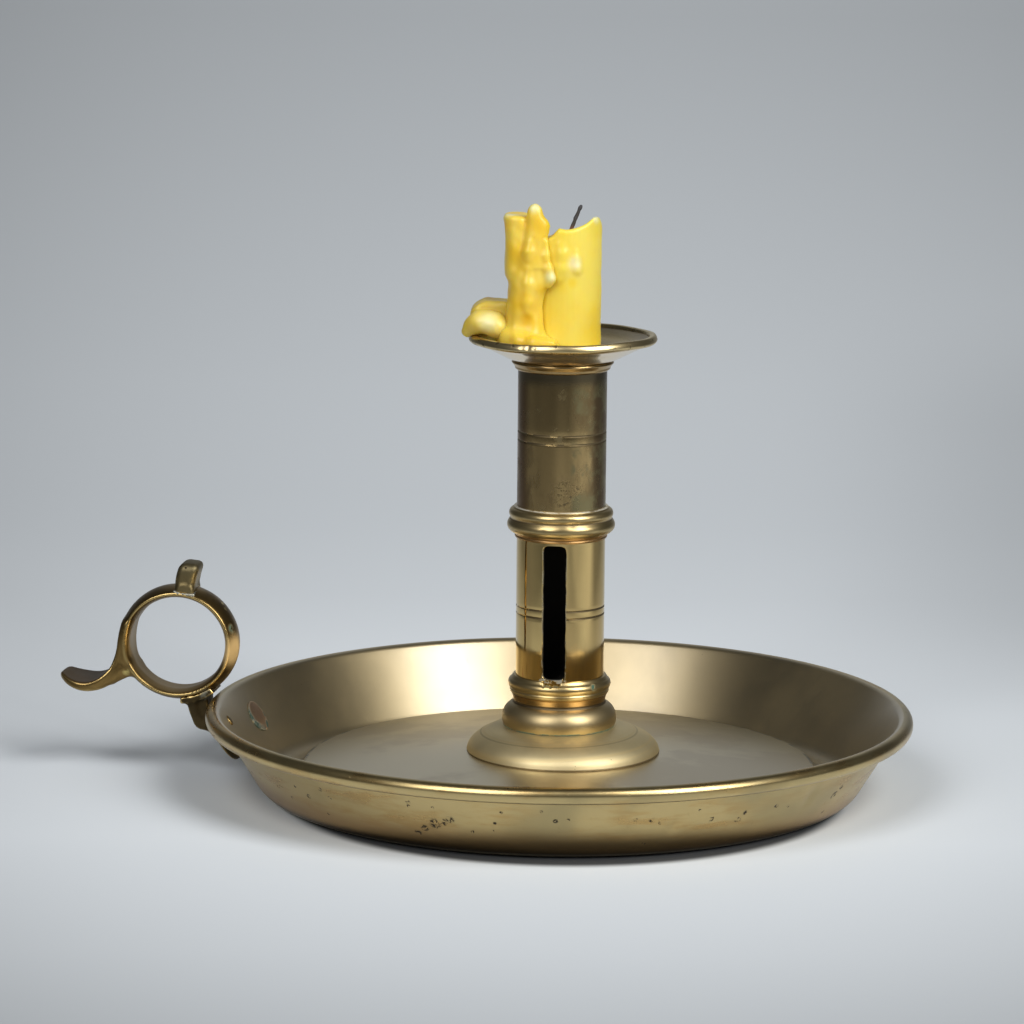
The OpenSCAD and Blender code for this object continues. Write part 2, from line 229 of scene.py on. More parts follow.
def ironed(verts, faces, rounds=3):
    """Evens out small spikes: a step inward, then a step outward of about the same size."""
    ends = np.concatenate([faces, np.roll(faces, -1, axis=1)]).ravel()
    others = np.concatenate([np.roll(faces, -1, axis=1), faces]).ravel()
    count = np.bincount(ends, minlength=len(verts))[:, None]
    for _ in range(rounds):
        for share in (0.5, -0.52):
            mean = np.stack([np.bincount(ends, verts[others, k], len(verts)) for k in range(3)], -1) / count
            verts = verts + share * (mean - verts)
    return verts


def sculpt(name, field, low, high, step, material, body, replaces=(), rounds=3):
    verts, faces = net(field, low, high, step)
    verts = ironed(settle(field, verts, step * 0.35), faces, rounds)
    return keep(name, verts, faces.tolist(), material, body, replaces, None)


def blend_in(a, b, k):
    """The union of two fields with a soft fillet of about k."""
    h = np.clip(0.5 + 0.5 * (b - a) / k, 0, 1)
    return b + (a - b) * h - k * h * (1 - h)


def cut_out(a, b, k):
    """Field a less field b, with its new edge rounded by about k."""
    return -blend_in(-a, b, k)


def soft_cap(a, b, k):
    """The overlap of two fields, with the edge rounded by about k."""
    return -blend_in(-a, -b, k)


def box_field(u, v, half_u, half_v, r):
    """Distance to a rounded rectangle in a plane."""
    qu, qv = np.abs(u) - half_u + r, np.abs(v) - half_v + r
    return np.hypot(np.maximum(qu, 0), np.maximum(qv, 0)) + np.minimum(np.maximum(qu, qv), 0) - r


def along(x, z, path):
    """Signed distance to a flat path, and how far along it (0 to 1) the nearest point is."""
    path = np.asarray(path, float)
    gaps = np.linalg.norm(np.diff(path, axis=0), axis=1)
    start = np.concatenate([[0], np.cumsum(gaps)])
    best = side = place = None
    for i in range(len(path) - 1):
        d = (path[i + 1] - path[i]) / gaps[i]
        ax, az = x - path[i][0], z - path[i][1]
        t = np.clip(ax * d[0] + az * d[1], 0, gaps[i])
        px, pz = ax - t * d[0], az - t * d[1]
        away = np.hypot(px, pz)
        sign = np.where(d[0] * az - d[1] * ax >= 0, 1.0, -1.0)
        s = (start[i] + t) / start[-1]
        if best is None:
            best, side, place = away, sign, s
        else:
            closer = away < best
            best, side, place = np.where(closer, away, best), np.where(closer, sign, side), np.where(closer, s, place)
    return best, side, place


def run(x, y, z, beads, k=1.2):
    """Wax run through beads (x, y, z, radius), soft where they join."""
    total = None
    for (ax, ay, az, ra), (bx, by, bz, rb) in zip(beads[:-1], beads[1:]):
        dx, dy, dz = bx - ax, by - ay, bz - az
        t = np.clip(((x - ax) * dx + (y - ay) * dy + (z - az) * dz) / (dx * dx + dy * dy + dz * dz), 0, 1)
        f = np.sqrt((x - ax - t * dx) ** 2 + (y - ay - t * dy) ** 2 + (z - az - t * dz) ** 2) - ra - (rb - ra) * t
        total = f if total is None else blend_in(total, f, k)
    return total


def lump(x, y, z, centre, sizes):
    """An ellipsoid, near enough as a distance."""
    u, v, w = ((p - c) / s for p, c, s in zip((x, y, z), centre, sizes))
    far = np.sqrt(u * u + v * v + w * w)
    slope = np.sqrt((u / sizes[0]) ** 2 + (v / sizes[1]) ** 2 + (w / sizes[2]) ** 2)
    return far * (far - 1) / np.maximum(slope, 1e-6)


def ripple(x, y, z, size, seed, amount):
    """A smooth, fixed unevenness made of a few waves."""
    random = np.random.default_rng(seed)
    total = 0
    for _ in range(6):
        d = random.normal(size=3)
        d *= 2 * math.pi / size / np.linalg.norm(d) * random.uniform(0.6, 1.5)
        total = total + np.sin(x * d[0] + y * d[1] + z * d[2] + random.uniform(0, 6.28))
    return amount * total / 3


# ---------------------------------------------------------------- materials

class Tree:
    """A short way to write shader nodes: each call adds a node and gives back its output."""

    def __init__(self, name):
        self.material = bpy.data.materials.new(name)
        self.material.use_nodes = True
        self.nodes = self.material.node_tree.nodes
        self.links = self.material.node_tree.links
        self.nodes.clear()
        self.place = self.add("ShaderNodeTexCoord").outputs["Object"]

    def add(self, kind, **values):
        node = self.nodes.new(kind)
        for key, value in values.items():
            setattr(node, key, value)
        return node

    def put(self, socket, value):
        if isinstance(value, bpy.types.NodeSocket):
            self.links.new(value, socket)
        elif value is not None:
            socket.default_value = value

    def math(self, operation, a, b=None, clamp=False):
        node = self.add("ShaderNodeMath", operation=operation, use_clamp=clamp)
        self.put(node.inputs[0], a)
        self.put(node.inputs[1], b)
        return node.outputs[0]

    def vector(self, operation, a, b=None):
        node = self.add("ShaderNodeVectorMath", operation=operation)
        self.put(node.inputs[0], a)
        self.put(node.inputs[1], b)
        return node.outputs["Value"] if operation in ("LENGTH", "DISTANCE") else node.outputs["Vector"]

    def noise(self, scale, detail=4.0, rough=0.55, place=None, warp=0.0):
        node = self.add("ShaderNodeTexNoise")
        self.put(node.inputs["Vector"], self.place if place is None else place)
        node.inputs["Scale"].default_value = scale
        node.inputs["Detail"].default_value = detail
        node.inputs["Roughness"].default_value = rough
        node.inputs["Distortion"].default_value = warp
        return node.outputs["Fac"]

    def cells(self, scale, place=None, kind="F1"):
        node = self.add("ShaderNodeTexVoronoi", feature=kind)
        self.put(node.inputs["Vector"], self.place if place is None else place)
        node.inputs["Scale"].default_value = scale
        return node.outputs["Distance"]

    def stretch(self, factors, place=None):
        return self.vector("MULTIPLY", self.place if place is None else place, factors)

    def span(self, value, low, high, to_low=0.0, to_high=1.0):
        node = self.add("ShaderNodeMapRange", interpolation_type="SMOOTHSTEP")
        self.put(node.inputs["Value"], value)
        node.inputs["From Min"].default_value = low
        node.inputs["From Max"].default_value = high
        node.inputs["To Min"].default_value = to_low
        node.inputs["To Max"].default_value = to_high
        return node.outputs["Result"]

    def mix(self, factor, a, b):
        node = self.add("ShaderNodeMix", data_type="RGBA")
        self.put(node.inputs["Factor"], factor)
        self.put(node.inputs["A"], colour(a))
        self.put(node.inputs["B"], colour(b))
        return node.outputs["Result"]

    def axis(self, letter):
        node = self.add("ShaderNodeSeparateXYZ")
        self.put(node.inputs[0], self.place)
        return node.outputs[letter]

    def radius(self):
        """Distance from the stem's axis."""
        return self.vector("LENGTH", self.stretch((1, 1, 0)))

    def add_axis(self, value):
        """A place with the value as its X, for a texture that changes along one number."""
        node = self.add("ShaderNodeCombineXYZ")
        self.put(node.inputs["X"], value)
        return node.outputs["Vector"]

    def spread(self, value):
        """A number as a colour of equal parts."""
        node = self.add("ShaderNodeCombineXYZ")
        for socket in node.inputs:
            self.put(socket, value)
        return node.outputs["Vector"]

    def near(self, spot, reach, soft=0.4):
        """1 within reach mm of a spot given in mm, 0 outside."""
        away = self.vector("DISTANCE", self.place, tuple(v * MM for v in spot))
        return self.span(away, reach * MM * (1 - soft), reach * MM, 1.0, 0.0)

    def either(self, *masks):
        total = masks[0]
        for mask in masks[1:]:
            total = self.math("MAXIMUM", total, mask)
        return total

    def both(self, *masks):
        total = masks[0]
        for mask in masks[1:]:
            total = self.math("MULTIPLY", total, mask)
        return total

    def blend(self, factor, a, b):
        """A number that goes from a to b with the factor."""
        node = self.add("ShaderNodeMix", data_type="FLOAT")
        self.put(node.inputs["Factor"], factor)
        self.put(node.inputs["A"], a)
        self.put(node.inputs["B"], b)
        return node.outputs["Result"]

    def band(self, value, low, high, soft):
        """1 where the value lies between low and high, both in mm."""
        rise = self.span(value, (low - soft) * MM, low * MM)
        fall = self.span(value, high * MM, (high + soft) * MM, 1.0, 0.0)
        return self.both(rise, fall)

    def edges(self, low, high):
        """The mesh's convex edges, from its own shape."""
        return self.span(self.add("ShaderNodeNewGeometry").outputs["Pointiness"], low, high)

    def bump(self, height, strength, distance):
        node = self.add("ShaderNodeBump")
        self.put(node.inputs["Height"], height)
        node.inputs["Strength"].default_value = strength
        node.inputs["Distance"].default_value = distance
        return node.outputs["Normal"]

    def finish(self, colour_in, rough, metal, normal=None, **fixed):
        shader = self.add("ShaderNodeBsdfPrincipled")
        self.put(shader.inputs["Base Color"], colour(colour_in))
        self.put(shader.inputs["Roughness"], rough)
        self.put(shader.inputs["Metallic"], metal)
        if normal is not None:
            self.put(shader.inputs["Normal"], normal)
        for key, value in fixed.items():
            self.put(shader.inputs[key.replace("_", " ")], value)
        out = self.add("ShaderNodeOutputMaterial")
        self.links.new(shader.outputs[0], out.inputs["Surface"])
        return self.material


def colour(value):
    return (*value, 1.0) if isinstance(value, tuple) and len(value) == 3 else value


class Metal:
    """Old metal built up in layers: each layer has a mask and a tone, roughness or depth of its own."""

    def __init__(self, name, tone, rough, mottle=0.25, spread=0.06):
        t = self.t = Tree(name)
        cloud = t.noise(34.0, 5.0, 0.6, warp=0.3)
        fine = t.noise(480.0, 4.0, 0.65)
        self.shade = t.mix(t.span(cloud, 0.36, 0.66), tone, tuple(v * (1 - mottle) for v in tone))
        self.rough = t.span(t.noise(70.0, 4.0, 0.6), 0.3, 0.7, rough, rough + spread)
        self.metal = 1.0
        self.height = t.math("MULTIPLY", fine, 0.10)
        self.pit(520.0, 0.09, 0.60, 0.66)

    def layer(self, mask, tone=None, rough=None, metal=None, depth=None):
        t = self.t
        if tone is not None:
            self.shade = t.mix(mask, self.shade, tone)
        if rough is not None:
            self.rough = t.blend(mask, self.rough, rough)
        if metal is not None:
            self.metal = t.blend(mask, self.metal, metal)
        if depth is not None:
            self.height = t.math("ADD", self.height, t.math("MULTIPLY", mask, depth))

    def pit(self, scale, size, low, high, tone=(0.10, 0.08, 0.05)):
        """Small dark pits, only where a coarser noise lies above low."""
        t = self.t
        spots = t.span(t.cells(scale), size * 0.5, size, 1.0, 0.0)
        self.layer(t.both(spots, t.span(t.noise(48.0, 2.0), low, high)), tone, 0.6, depth=-1.0)

    def marks(self, spots, tone=(0.07, 0.055, 0.04), depth=-2.5):
        """Dark ragged nicks at spots (azimuth, height, radius of the mark) on the outside of the wall."""
        t = self.t
        ragged = t.span(t.noise(900.0, 3.0, 0.6, warp=0.5), 0.47, 0.56)
        found = []
        for azimuth, height, reach in spots:
            a = math.radians(azimuth)
            r = 80.61 + 0.618 * height
            found.append(t.near((r * math.cos(a), r * math.sin(a), height), reach, 0.5))
        self.layer(t.both(t.either(*found), ragged), tone, 0.5, depth=depth)

    def marks_at(self, spots, reach, tone=(0.04, 0.03, 0.02), depth=-2.0):
        """Small round pits at places given in mm."""
        found = [self.t.near(spot, reach, 0.5) for spot in spots]
        self.layer(self.t.either(*found), tone, 0.6, depth=depth)

    def done(self, film=0.0, strength=0.35, distance=0.00008):
        """The finished material. A film is the thin clear layer of grease and wax that pales the highlights."""
        normal = self.t.bump(self.height, strength, distance)
        return self.t.finish(self.shade, self.rough, self.metal, normal, Coat_Weight=film, Coat_Roughness=0.3,
                             Coat_IOR=1.9)


VERDIGRIS = (0.05, 0.11, 0.075)
# Painted shade for the gap under the pan's rolled rim
GROOVE_SHADE = (0.05, 0.042, 0.028)
PALE_SOLDER = (0.62, 0.60, 0.52)

WALL_MARKS = [
    (-103.3, 9.0, 2.2), (-105.6, 7.3, 1.4), (-107.2, 5.6, 1.2), (-100.4, 10.6, 1.5), (-101.8, 9.6, 1.6),
    (-107.3, 14.9, 0.9), (-107.4, 13.6, 0.7), (-136.5, 7.9, 0.8), (-130.2, 10.5, 1.1), (-125.8, 13.9, 1.0),
    (-124.3, 11.7, 0.8), (-126.9, 6.3, 0.6), (-103.0, 13.9, 0.6), (-96.7, 7.6, 0.7), (-93.2, 8.3, 0.6),
    (-91.3, 14.0, 0.6), (-92.6, 10.6, 0.6), (-82.4, 11.9, 0.9), (-80.3, 12.3, 0.6), (-69.0, 11.9, 0.8),
    (-66.2, 11.5, 0.9), (-64.6, 10.6, 0.7), (-55.1, 10.4, 1.0), (-49.6, 9.0, 1.3), (-48.6, 11.0, 1.0),
    (-42.0, 11.4, 0.9), (-38.9, 10.6, 0.7), (-25.6, 10.0, 1.6), (-24.4, 12.0, 1.2), (-25.9, 5.0, 0.9),
    (-66.8, 4.5, 0.7), (-84.7, 14.7, 0.6), (-133.0, 12.4, 0.7), (-140.0, 10.0, 0.7), (-58.0, 13.6, 0.5)]


def pan_metal():
    m = Metal("pan_brass", (0.54, 0.425, 0.22), 0.385, 0.18)
    t = m.t
    radius, height = t.radius(), t.axis("Z")
    lean = t.math("SUBTRACT", radius, t.math("MULTIPLY", height, 0.618))
    outside = t.span(lean, 0.0797, 0.0802)
    floor = t.both(t.span(radius, 0.0700, 0.0690, 0.0, 1.0), t.span(height, 0.0050, 0.0060))
    moat = t.band(radius, 70.0, 75.5, 0.6)
    m.layer(floor, (0.66, 0.55, 0.32), 0.36)
    m.layer(t.both(floor, t.span(t.noise(26.0, 4.0, 0.6), 0.47, 0.58)), (0.53, 0.425, 0.235), 0.42)
    # Painted shade: the bottom of the moat, by the foot of the inner wall, is darker
    m.layer(t.both(moat, t.span(height, 0.004, 0.003)), (0.34, 0.27, 0.15), 0.34)
    m.layer(t.both(t.band(radius, 69.0, 70.4, 0.3), t.span(t.noise(160.0), 0.35, 0.6)), (0.16, 0.13, 0.08), 0.5)
    streaks = t.noise(60.0, 4.0, 0.6, place=t.stretch((1, 1, 5)))
    m.layer(outside, (0.54, 0.42, 0.20), 0.29)
    m.layer(t.both(outside, t.span(streaks, 0.42, 0.66)), (0.48, 0.33, 0.135), 0.27)
    m.layer(t.both(outside, t.span(t.noise(22.0, 3.0), 0.52, 0.66)), (0.40, 0.32, 0.16), 0.30)
    # Painted shade: the outside darkens towards the foot and is near black at the very bottom, standing in for the
    # floor's shade under the flare; less of it on the right
    foot = t.math("ADD", height, t.math("MULTIPLY", t.math("MAXIMUM", t.axis("X"), 0.0), 0.03))
    m.layer(t.both(outside, t.span(foot, 0.0110, 0.0035, 0.0, 1.0)), (0.38, 0.25, 0.115), 0.30)
    m.layer(t.both(outside, t.span(foot, 0.0040, 0.0012, 0.0, 1.0)), (0.12, 0.08, 0.04), 0.36)
    m.layer(t.both(outside, t.span(height, 0.0016, 0.0005, 0.0, 1.0)), (0.02, 0.016, 0.01), 0.6, 0.0)
    # Painted shade: two patches of the inside back wall are darker, to dim the box reflections there
    painted_dim_back_wall = t.either(t.near((49.0, 87.6, 20.0), 34.0, 0.9), t.near((-44.0, 88.4, 20.0), 46.0, 0.9))
    m.layer(t.both(painted_dim_back_wall, t.math("SUBTRACT", 1.0, outside)), (0.39, 0.305, 0.155), None)
    # Painted shade in the gap where the rolled rim meets the outer wall
    m.layer(t.both(t.band(radius, 92.0, 92.9, 0.15), t.band(height, 17.9, 19.2, 0.2)), GROOVE_SHADE, 0.6)
    m.marks(WALL_MARKS)
    rub = t.noise(700.0, 3.0, 0.7, place=t.stretch((1, 1, 0.2)))
    m.layer(t.span(rub, 0.62, 0.70), None, 0.42, depth=-0.5)
    return m.done(t.math("SUBTRACT", 1.0, outside))


def boss_metal():
    m = Metal("boss_brass", (0.74, 0.62, 0.36), 0.50, 0.15)
    t = m.t
    radius = t.radius()
    turned_lines = t.noise(900.0, 2.0, 0.5, place=t.add_axis(radius))
    m.layer(t.span(turned_lines, 0.5, 0.7), (0.70, 0.57, 0.31), None, depth=-0.35)
    crust = t.span(t.noise(260.0, 4.0, 0.7), 0.40, 0.56)
    m.layer(t.band(radius, 21.2, 21.5, 0.15), (0.56, 0.46, 0.26), None)
    # Painted shade: darker at the boss's lowest edge, where it meets the pan's floor
    m.layer(t.span(t.axis("Z"), 0.01075, 0.01055), (0.30, 0.24, 0.14), 0.5)
    m.layer(t.both(t.band(radius, 14.4, 15.1, 0.2), crust), (0.30, 0.30, 0.20), 0.6, 0.5)
    return m.done()


def collar_metal():
    m = Metal("collar_brass", (0.56, 0.43, 0.205), 0.29, 0.18)
    bead = m.t.span(m.t.axis("Z"), 0.0240, 0.0236)
    m.layer(bead, (0.47, 0.37, 0.20), 0.42)
    t = m.t
    height = t.axis("Z")
    ragged = t.span(t.noise(300.0, 4.0, 0.7), 0.38, 0.55)
    # Painted shade in the grooves of the base and mid collars; the band from 69.0 to 69.45 is the dark joint line
    # below the mid collar
    m.layer(t.either(t.band(height, 24.0, 24.7, 0.25), t.band(height, 70.05, 70.3, 0.1),
                     t.band(height, 69.0, 69.45, 0.1)), (0.12, 0.09, 0.05), 0.5)
    m.layer(t.band(height, 69.5, 70.9, 0.1), (0.42, 0.26, 0.11), None)
    m.layer(t.band(height, 25.0, 26.4, 0.5), (0.46, 0.29, 0.11), 0.24)
    # Painted shade in the groove between the mid collar's beads
    m.layer(t.band(height, 74.6, 74.9, 0.15), (0.28, 0.21, 0.11), 0.4)
    m.layer(t.both(t.band(height, 77.9, 78.4, 0.15), ragged), PALE_SOLDER, 0.55, 0.5)
    m.layer(t.both(t.band(height, 17.3, 17.75, 0.12), ragged), (0.17, 0.23, 0.16), 0.7, 0.2)
    m.layer(t.both(t.near((10.65, -8.84, 29.9), 1.3, 0.6), t.span(t.noise(700.0), 0.43, 0.48)), VERDIGRIS, 0.8,
            0.1, -2.0)
    beside = t.math("ABSOLUTE", t.math("ADD", t.axis("X"), 0.0004))
    m.layer(t.both(t.span(beside, 0.0023, 0.0020, 0.0, 1.0), t.span(t.axis("Y"), -0.010, -0.011),
                   t.band(height, 29.9, 31.3, 0.1), t.span(t.radius(), 0.0132, 0.0130, 0.0, 1.0)),
            (0.16, 0.15, 0.09), 0.6, 0.4)
    m.layer(t.span(height, 0.1140, 0.1142), (0.42, 0.29, 0.13), 0.25)
    return m.done()


def tube_metal():
    m = Metal("tube_brass", (0.71, 0.525, 0.22), 0.045, 0.2, 0.02)
    t = m.t
    height, radius = t.axis("Z"), t.radius()
    smear = t.noise(90.0, 4.0, 0.6, place=t.stretch((1, 1, 0.12)))
    m.layer(t.span(smear, 0.45, 0.62), (0.60, 0.43, 0.18), 0.085)
    upper = t.span(height, 0.0775, 0.0785)
    m.layer(upper, (0.52, 0.37, 0.165), 0.23)
    m.layer(t.span(height, 0.0960, 0.1020), (0.37, 0.265, 0.12), 0.21)
    m.layer(t.both(upper, t.span(t.noise(65.0, 5.0, 0.65, place=t.stretch((1, 1, 0.4))), 0.46, 0.6)), (0.27, 0.19, 0.09), 0.33)
    m.layer(t.both(upper, t.span(t.noise(130.0, 5.0, 0.7), 0.58, 0.70)), (0.34, 0.27, 0.14), 0.40)
    rough_patch = t.near((3.6, -11.4, 82.5), 5.5, 0.6)
    m.layer(t.both(rough_patch, t.span(t.noise(900.0, 4.0, 0.7), 0.50, 0.60)), (0.16, 0.125, 0.07), 0.4, depth=-0.8)
    # Painted shade and reflection on the upper tube as it faces the view: darker towards its left and right sides,
    # with a painted greenish reflection streak right of centre
    m.layer(t.both(upper, t.span(t.axis("X"), -0.0070, -0.0095)), (0.20, 0.125, 0.06), None)
    m.layer(t.both(upper, t.span(t.axis("X"), 0.0085, 0.0100)), (0.22, 0.15, 0.075), None)
    m.layer(t.both(upper, t.span(t.axis("X"), 0.0035, 0.0050), t.span(t.noise(150.0, 4.0, 0.6), 0.42, 0.6)),
            (0.31, 0.26, 0.13), None)
    lines = t.either(*[t.band(height, z - 0.05, z + 0.4, 0.12) for z in (48.6, 50.6, 96.0, 98.3)])
    sparse = t.span(t.noise(220.0, 3.0, 0.6), 0.46, 0.54)
    right = t.span(t.axis("X"), 0.001, 0.007)
    m.layer(t.both(lines, t.either(right, sparse)), (0.17, 0.13, 0.07), 0.5)
    # Painted shade just under the neck ring
    m.layer(t.span(height, 0.1105, 0.1140), (0.15, 0.12, 0.07), 0.3)
    crust = t.span(t.noise(650.0, 3.0, 0.6), 0.40, 0.50)
    m.layer(t.both(t.near((-0.3, -12.0, 31.6), 4.0, 0.15), t.band(height, 31.2, 32.2, 0.15), crust),
            (0.40, 0.385, 0.32), 0.55, 0.5, 0.6)
    worn = t.both(t.band(t.math("ABSOLUTE", t.axis("X")), 3.0, 3.3, 0.08), t.span(t.axis("Y"), -0.011, -0.0115),
                  t.band(height, 31.5, 69.0, 0.2), t.span(t.noise(240.0, 3.0, 0.6), 0.44, 0.56))
    m.layer(worn, (0.58, 0.50, 0.32), 0.36)
    # Painted shade: the tube's inside, seen through the slot, is near black
    m.layer(t.span(radius, 0.01185, 0.0112), (0.045, 0.042, 0.036), 0.8, 0.1)
    return m.done()


def handle_metal(name, tone, dull_rough=0.26):
    m = Metal(name, tone, dull_rough, 0.3)
    t = m.t
    dull = t.span(t.noise(55.0, 5.0, 0.65, warp=0.5), 0.44, 0.60)
    m.layer(dull, tuple(v * 0.6 for v in tone), dull_rough + 0.1)
    m.layer(t.edges(0.515, 0.56), (0.62, 0.46, 0.19), 0.22)
    # Painted shade: darker in concave creases
    m.layer(t.edges(0.485, 0.45), (0.09, 0.07, 0.04), 0.5)
    crust = t.span(t.noise(420.0, 4.0, 0.7), 0.46, 0.58)
    m.layer(t.both(t.near((-90.4, -3.4, 41.0), 1.9, 0.8), crust), (0.08, 0.15, 0.11), 0.75, 0.1, 0.6)
    m.layer(t.both(t.near((-119.6, -5.0, 28.2), 1.6, 0.8), crust), (0.50, 0.40, 0.14), 0.5, 0.7, 0.6)
    # Painted shade: darker and duller towards the top, which damps the highlight on the horn's top
    top = t.span(t.axis("Z"), 0.0550, 0.0575)
    m.layer(top, (0.17, 0.14, 0.075), 0.5)
    m.marks_at([(-102.9, -4.4, 57.7), (-100.6, -4.4, 57.8)], 0.42)
    up = t.add("ShaderNodeSeparateXYZ")
    t.put(up.inputs[0], t.add("ShaderNodeNewGeometry").outputs["Normal"])
    paddle = t.both(t.span(t.axis("X"), -0.1190, -0.1230, 0.0, 1.0), t.span(up.outputs["Z"], 0.35, 0.8))
    m.layer(paddle, (0.085, 0.052, 0.02), 0.5, 0.75)
    # Painted highlight: a pale, duller, less metallic patch on the ring's right side, which the right box lights
    # bright orange gold
    m.layer(t.near((-89.4, -3.0, 34.6), 6.5, 0.7), (0.72, 0.50, 0.22), 0.5, 0.3)
    centre = (RING_C[0] * MM, 0.0, RING_C[1] * MM)
    from_centre = t.vector("DISTANCE", t.stretch((1, 0, 1)), centre)
    m.layer(t.span(from_centre, 0.0138, 0.0133, 0.0, 1.0), (0.27, 0.19, 0.085), 0.4, 0.85)
    m.layer(t.both(t.near((-97.0, -5.0, 22.5), 2.4, 0.8), crust), (0.22, 0.22, 0.17), 0.6, 0.5, 0.6)
    return m.done()


def drip_metal():
    m = Metal("drip_brass", (0.62, 0.475, 0.225), 0.19, 0.18)
    t = m.t
    height, radius = t.axis("Z"), t.radius()
    inside = t.both(t.span(radius, 0.0232, 0.0228, 0.0, 1.0), t.span(t.math("SUBTRACT", height, t.math("MULTIPLY", radius, 0.33)), 0.1158, 0.1163))
    m.layer(inside, (0.33, 0.26, 0.15), 0.34)
    under = t.both(t.band(radius, 14.5, 24.0, 0.5), t.span(t.math("SUBTRACT", height, t.math("MULTIPLY", radius, 0.4)),
                                                       0.1138, 0.1134, 0.0, 1.0))
    m.layer(under, (0.72, 0.60, 0.42), 0.15)
    m.layer(t.both(t.span(radius, 0.0230, 0.0236), t.span(height, 0.1226, 0.1232)), (0.66, 0.53, 0.28), 0.30)
    m.layer(t.both(t.span(t.noise(330.0, 4.0, 0.6), 0.58, 0.66), t.band(radius, 23.0, 26.0, 0.4)), (0.2, 0.15, 0.08), 0.4, depth=-1.0)
    return m.done()


def copper_metal():
    m = Metal("rivet_copper", (0.60, 0.40, 0.25), 0.38, 0.3)
    t = m.t
    a = math.radians(180 - 8)
    head = ((80.61 + 0.618 * 13.2) * math.cos(a), (80.61 + 0.618 * 13.2) * math.sin(a), 13.2)
    away = t.vector("DISTANCE", t.place, tuple(v * MM for v in head))
    crust = t.span(t.noise(520.0, 4.0, 0.7), 0.40, 0.55)
    rim = t.span(away, 0.0036, 0.0044)
    side = t.span(t.axis("Y"), 0.0135, 0.0105, 0.0, 1.0)
    # Painted highlight: a paler line on one side of the head's rim
    m.layer(t.both(rim, side), (0.45, 0.40, 0.30), 0.35)
    m.layer(t.both(rim, crust), (0.03, 0.055, 0.04), 0.75, 0.1)
    return m.done()


def from_turned(x, y, z):
    """A place in the candle's own frame, X to the right of the view, as a place in mm."""
    c, s = math.cos(math.radians(CANDLE_TURN)), math.sin(math.radians(CANDLE_TURN))
    return x * c - y * s, x * s + y * c, z


def wax(name, tone, thick_and_shaded_tone, pale_highlight_tone, shaded_spots=(), light=()):
    """Yellow wax: a deeper tone in random clouds, with painted shade in its hollows and at the shaded spots, and pale
    painted highlights at the light spots where it is thin or stands proud. Spots are (x, y, z, reach).
    """
    t = Tree(name)
    cloud = t.noise(70.0, 3.0, 0.5)
    shade = t.mix(t.span(cloud, 0.35, 0.68), tone, thick_and_shaded_tone)
    # Painted shade: hollows take the deeper tone
    shade = t.mix(t.edges(0.49, 0.43), shade, thick_and_shaded_tone)
    # Shaded spots are painted shade; light spots are painted highlights
    for spots, colour_there in ((shaded_spots, thick_and_shaded_tone), (light, pale_highlight_tone)):
        if spots:
            found = [t.near(from_turned(*spot[:3]), spot[3], 0.9) for spot in spots]
            shade = t.mix(t.either(*found), shade, colour_there)
    fine = t.math("ADD", t.noise(180.0, 3.0, 0.5), t.noise(90.0, 3.0, 0.5, place=t.stretch((6, 6, 0.5))))
    normal = t.bump(fine, 0.25, 0.00018)
    return t.finish(shade, 0.36, 0.0, normal, Subsurface_Weight=0.6, Subsurface_Scale=0.0035,
                    Subsurface_Radius=(1.0, 0.75, 0.12), Specular_IOR_Level=0.45)


def plain(name, tone, rough, metal=0.0):
    t = Tree(name)
    shade = t.mix(t.noise(300.0, 4.0), tone, tuple(v * 0.6 for v in tone))
    return t.finish(shade, rough, metal)


def wick_material():
    t = Tree("wick_cotton")
    foot = t.span(t.axis("Z"), 0.1545, 0.1520, 0.0, 1.0)
    shade = t.mix(t.noise(900.0, 3.0), (0.075, 0.072, 0.075), (0.03, 0.03, 0.035))
    shade = t.mix(foot, shade, (0.28, 0.09, 0.03))
    return t.finish(shade, 0.8, 0.0, t.bump(t.noise(1400.0, 3.0), 0.5, 0.0001))


pan_brass = pan_metal()
boss_brass = boss_metal()
collar_brass = collar_metal()
tube_brass = tube_metal()
drip_brass = drip_metal()
handle_brass = handle_metal("handle_brass", (0.27, 0.175, 0.06))
horn_brass = handle_metal("horn_brass", (0.27, 0.21, 0.10), 0.36)
bracket_brass = handle_metal("bracket_brass", (0.10, 0.072, 0.034), 0.42)
solder = Metal("solder", (0.35, 0.34, 0.28), 0.42, 0.3).done()
copper = copper_metal()
iron = plain("iron_wire", (0.2, 0.19, 0.18), 0.5, 1.0)
# The shaded spots below include the gutter's painted shadow down the candle's left front
candle_wax = wax("candle_wax", (0.90, 0.73, 0.12), (0.90, 0.66, 0.055), (0.90, 0.82, 0.42),
                 [(-5.6, -8.6, 148.0, 4.5), (-1.0, -10.0, 139.4, 3.6), (2.2, -9.8, 139.6, 2.4), (-6.4, -7.8, 134.5, 4.6),
                  (-6.6, -7.6, 129.0, 4.6), (-5.4, -8.6, 139.0, 3.4)],
                 [(3.1, -10.4, 145.0, 3.0), (8.4, -5.0, 156.5, 2.4)])
gutter_wax = wax("gutter_wax", (0.88, 0.67, 0.11), (0.86, 0.56, 0.03), (0.88, 0.80, 0.42),
                 [(-9.4, -12.2, 129.8, 2.8), (-13.0, -10.4, 147.0, 6.0), (-5.6, -12.0, 138.0, 2.6)],
                 [(-8.0, -10.6, 160.0, 2.6), (-14.2, -6.0, 157.4, 3.4), (-3.4, -12.0, 141.5, 2.4)])
spill_wax = wax("spill_wax", (0.86, 0.70, 0.18), (0.70, 0.50, 0.05), (0.88, 0.80, 0.40),
                [(-19.0, 2.0, 133.5, 5.5)], [(-20.0, -9.5, 129.0, 4.0)])
wick_char = wick_material()

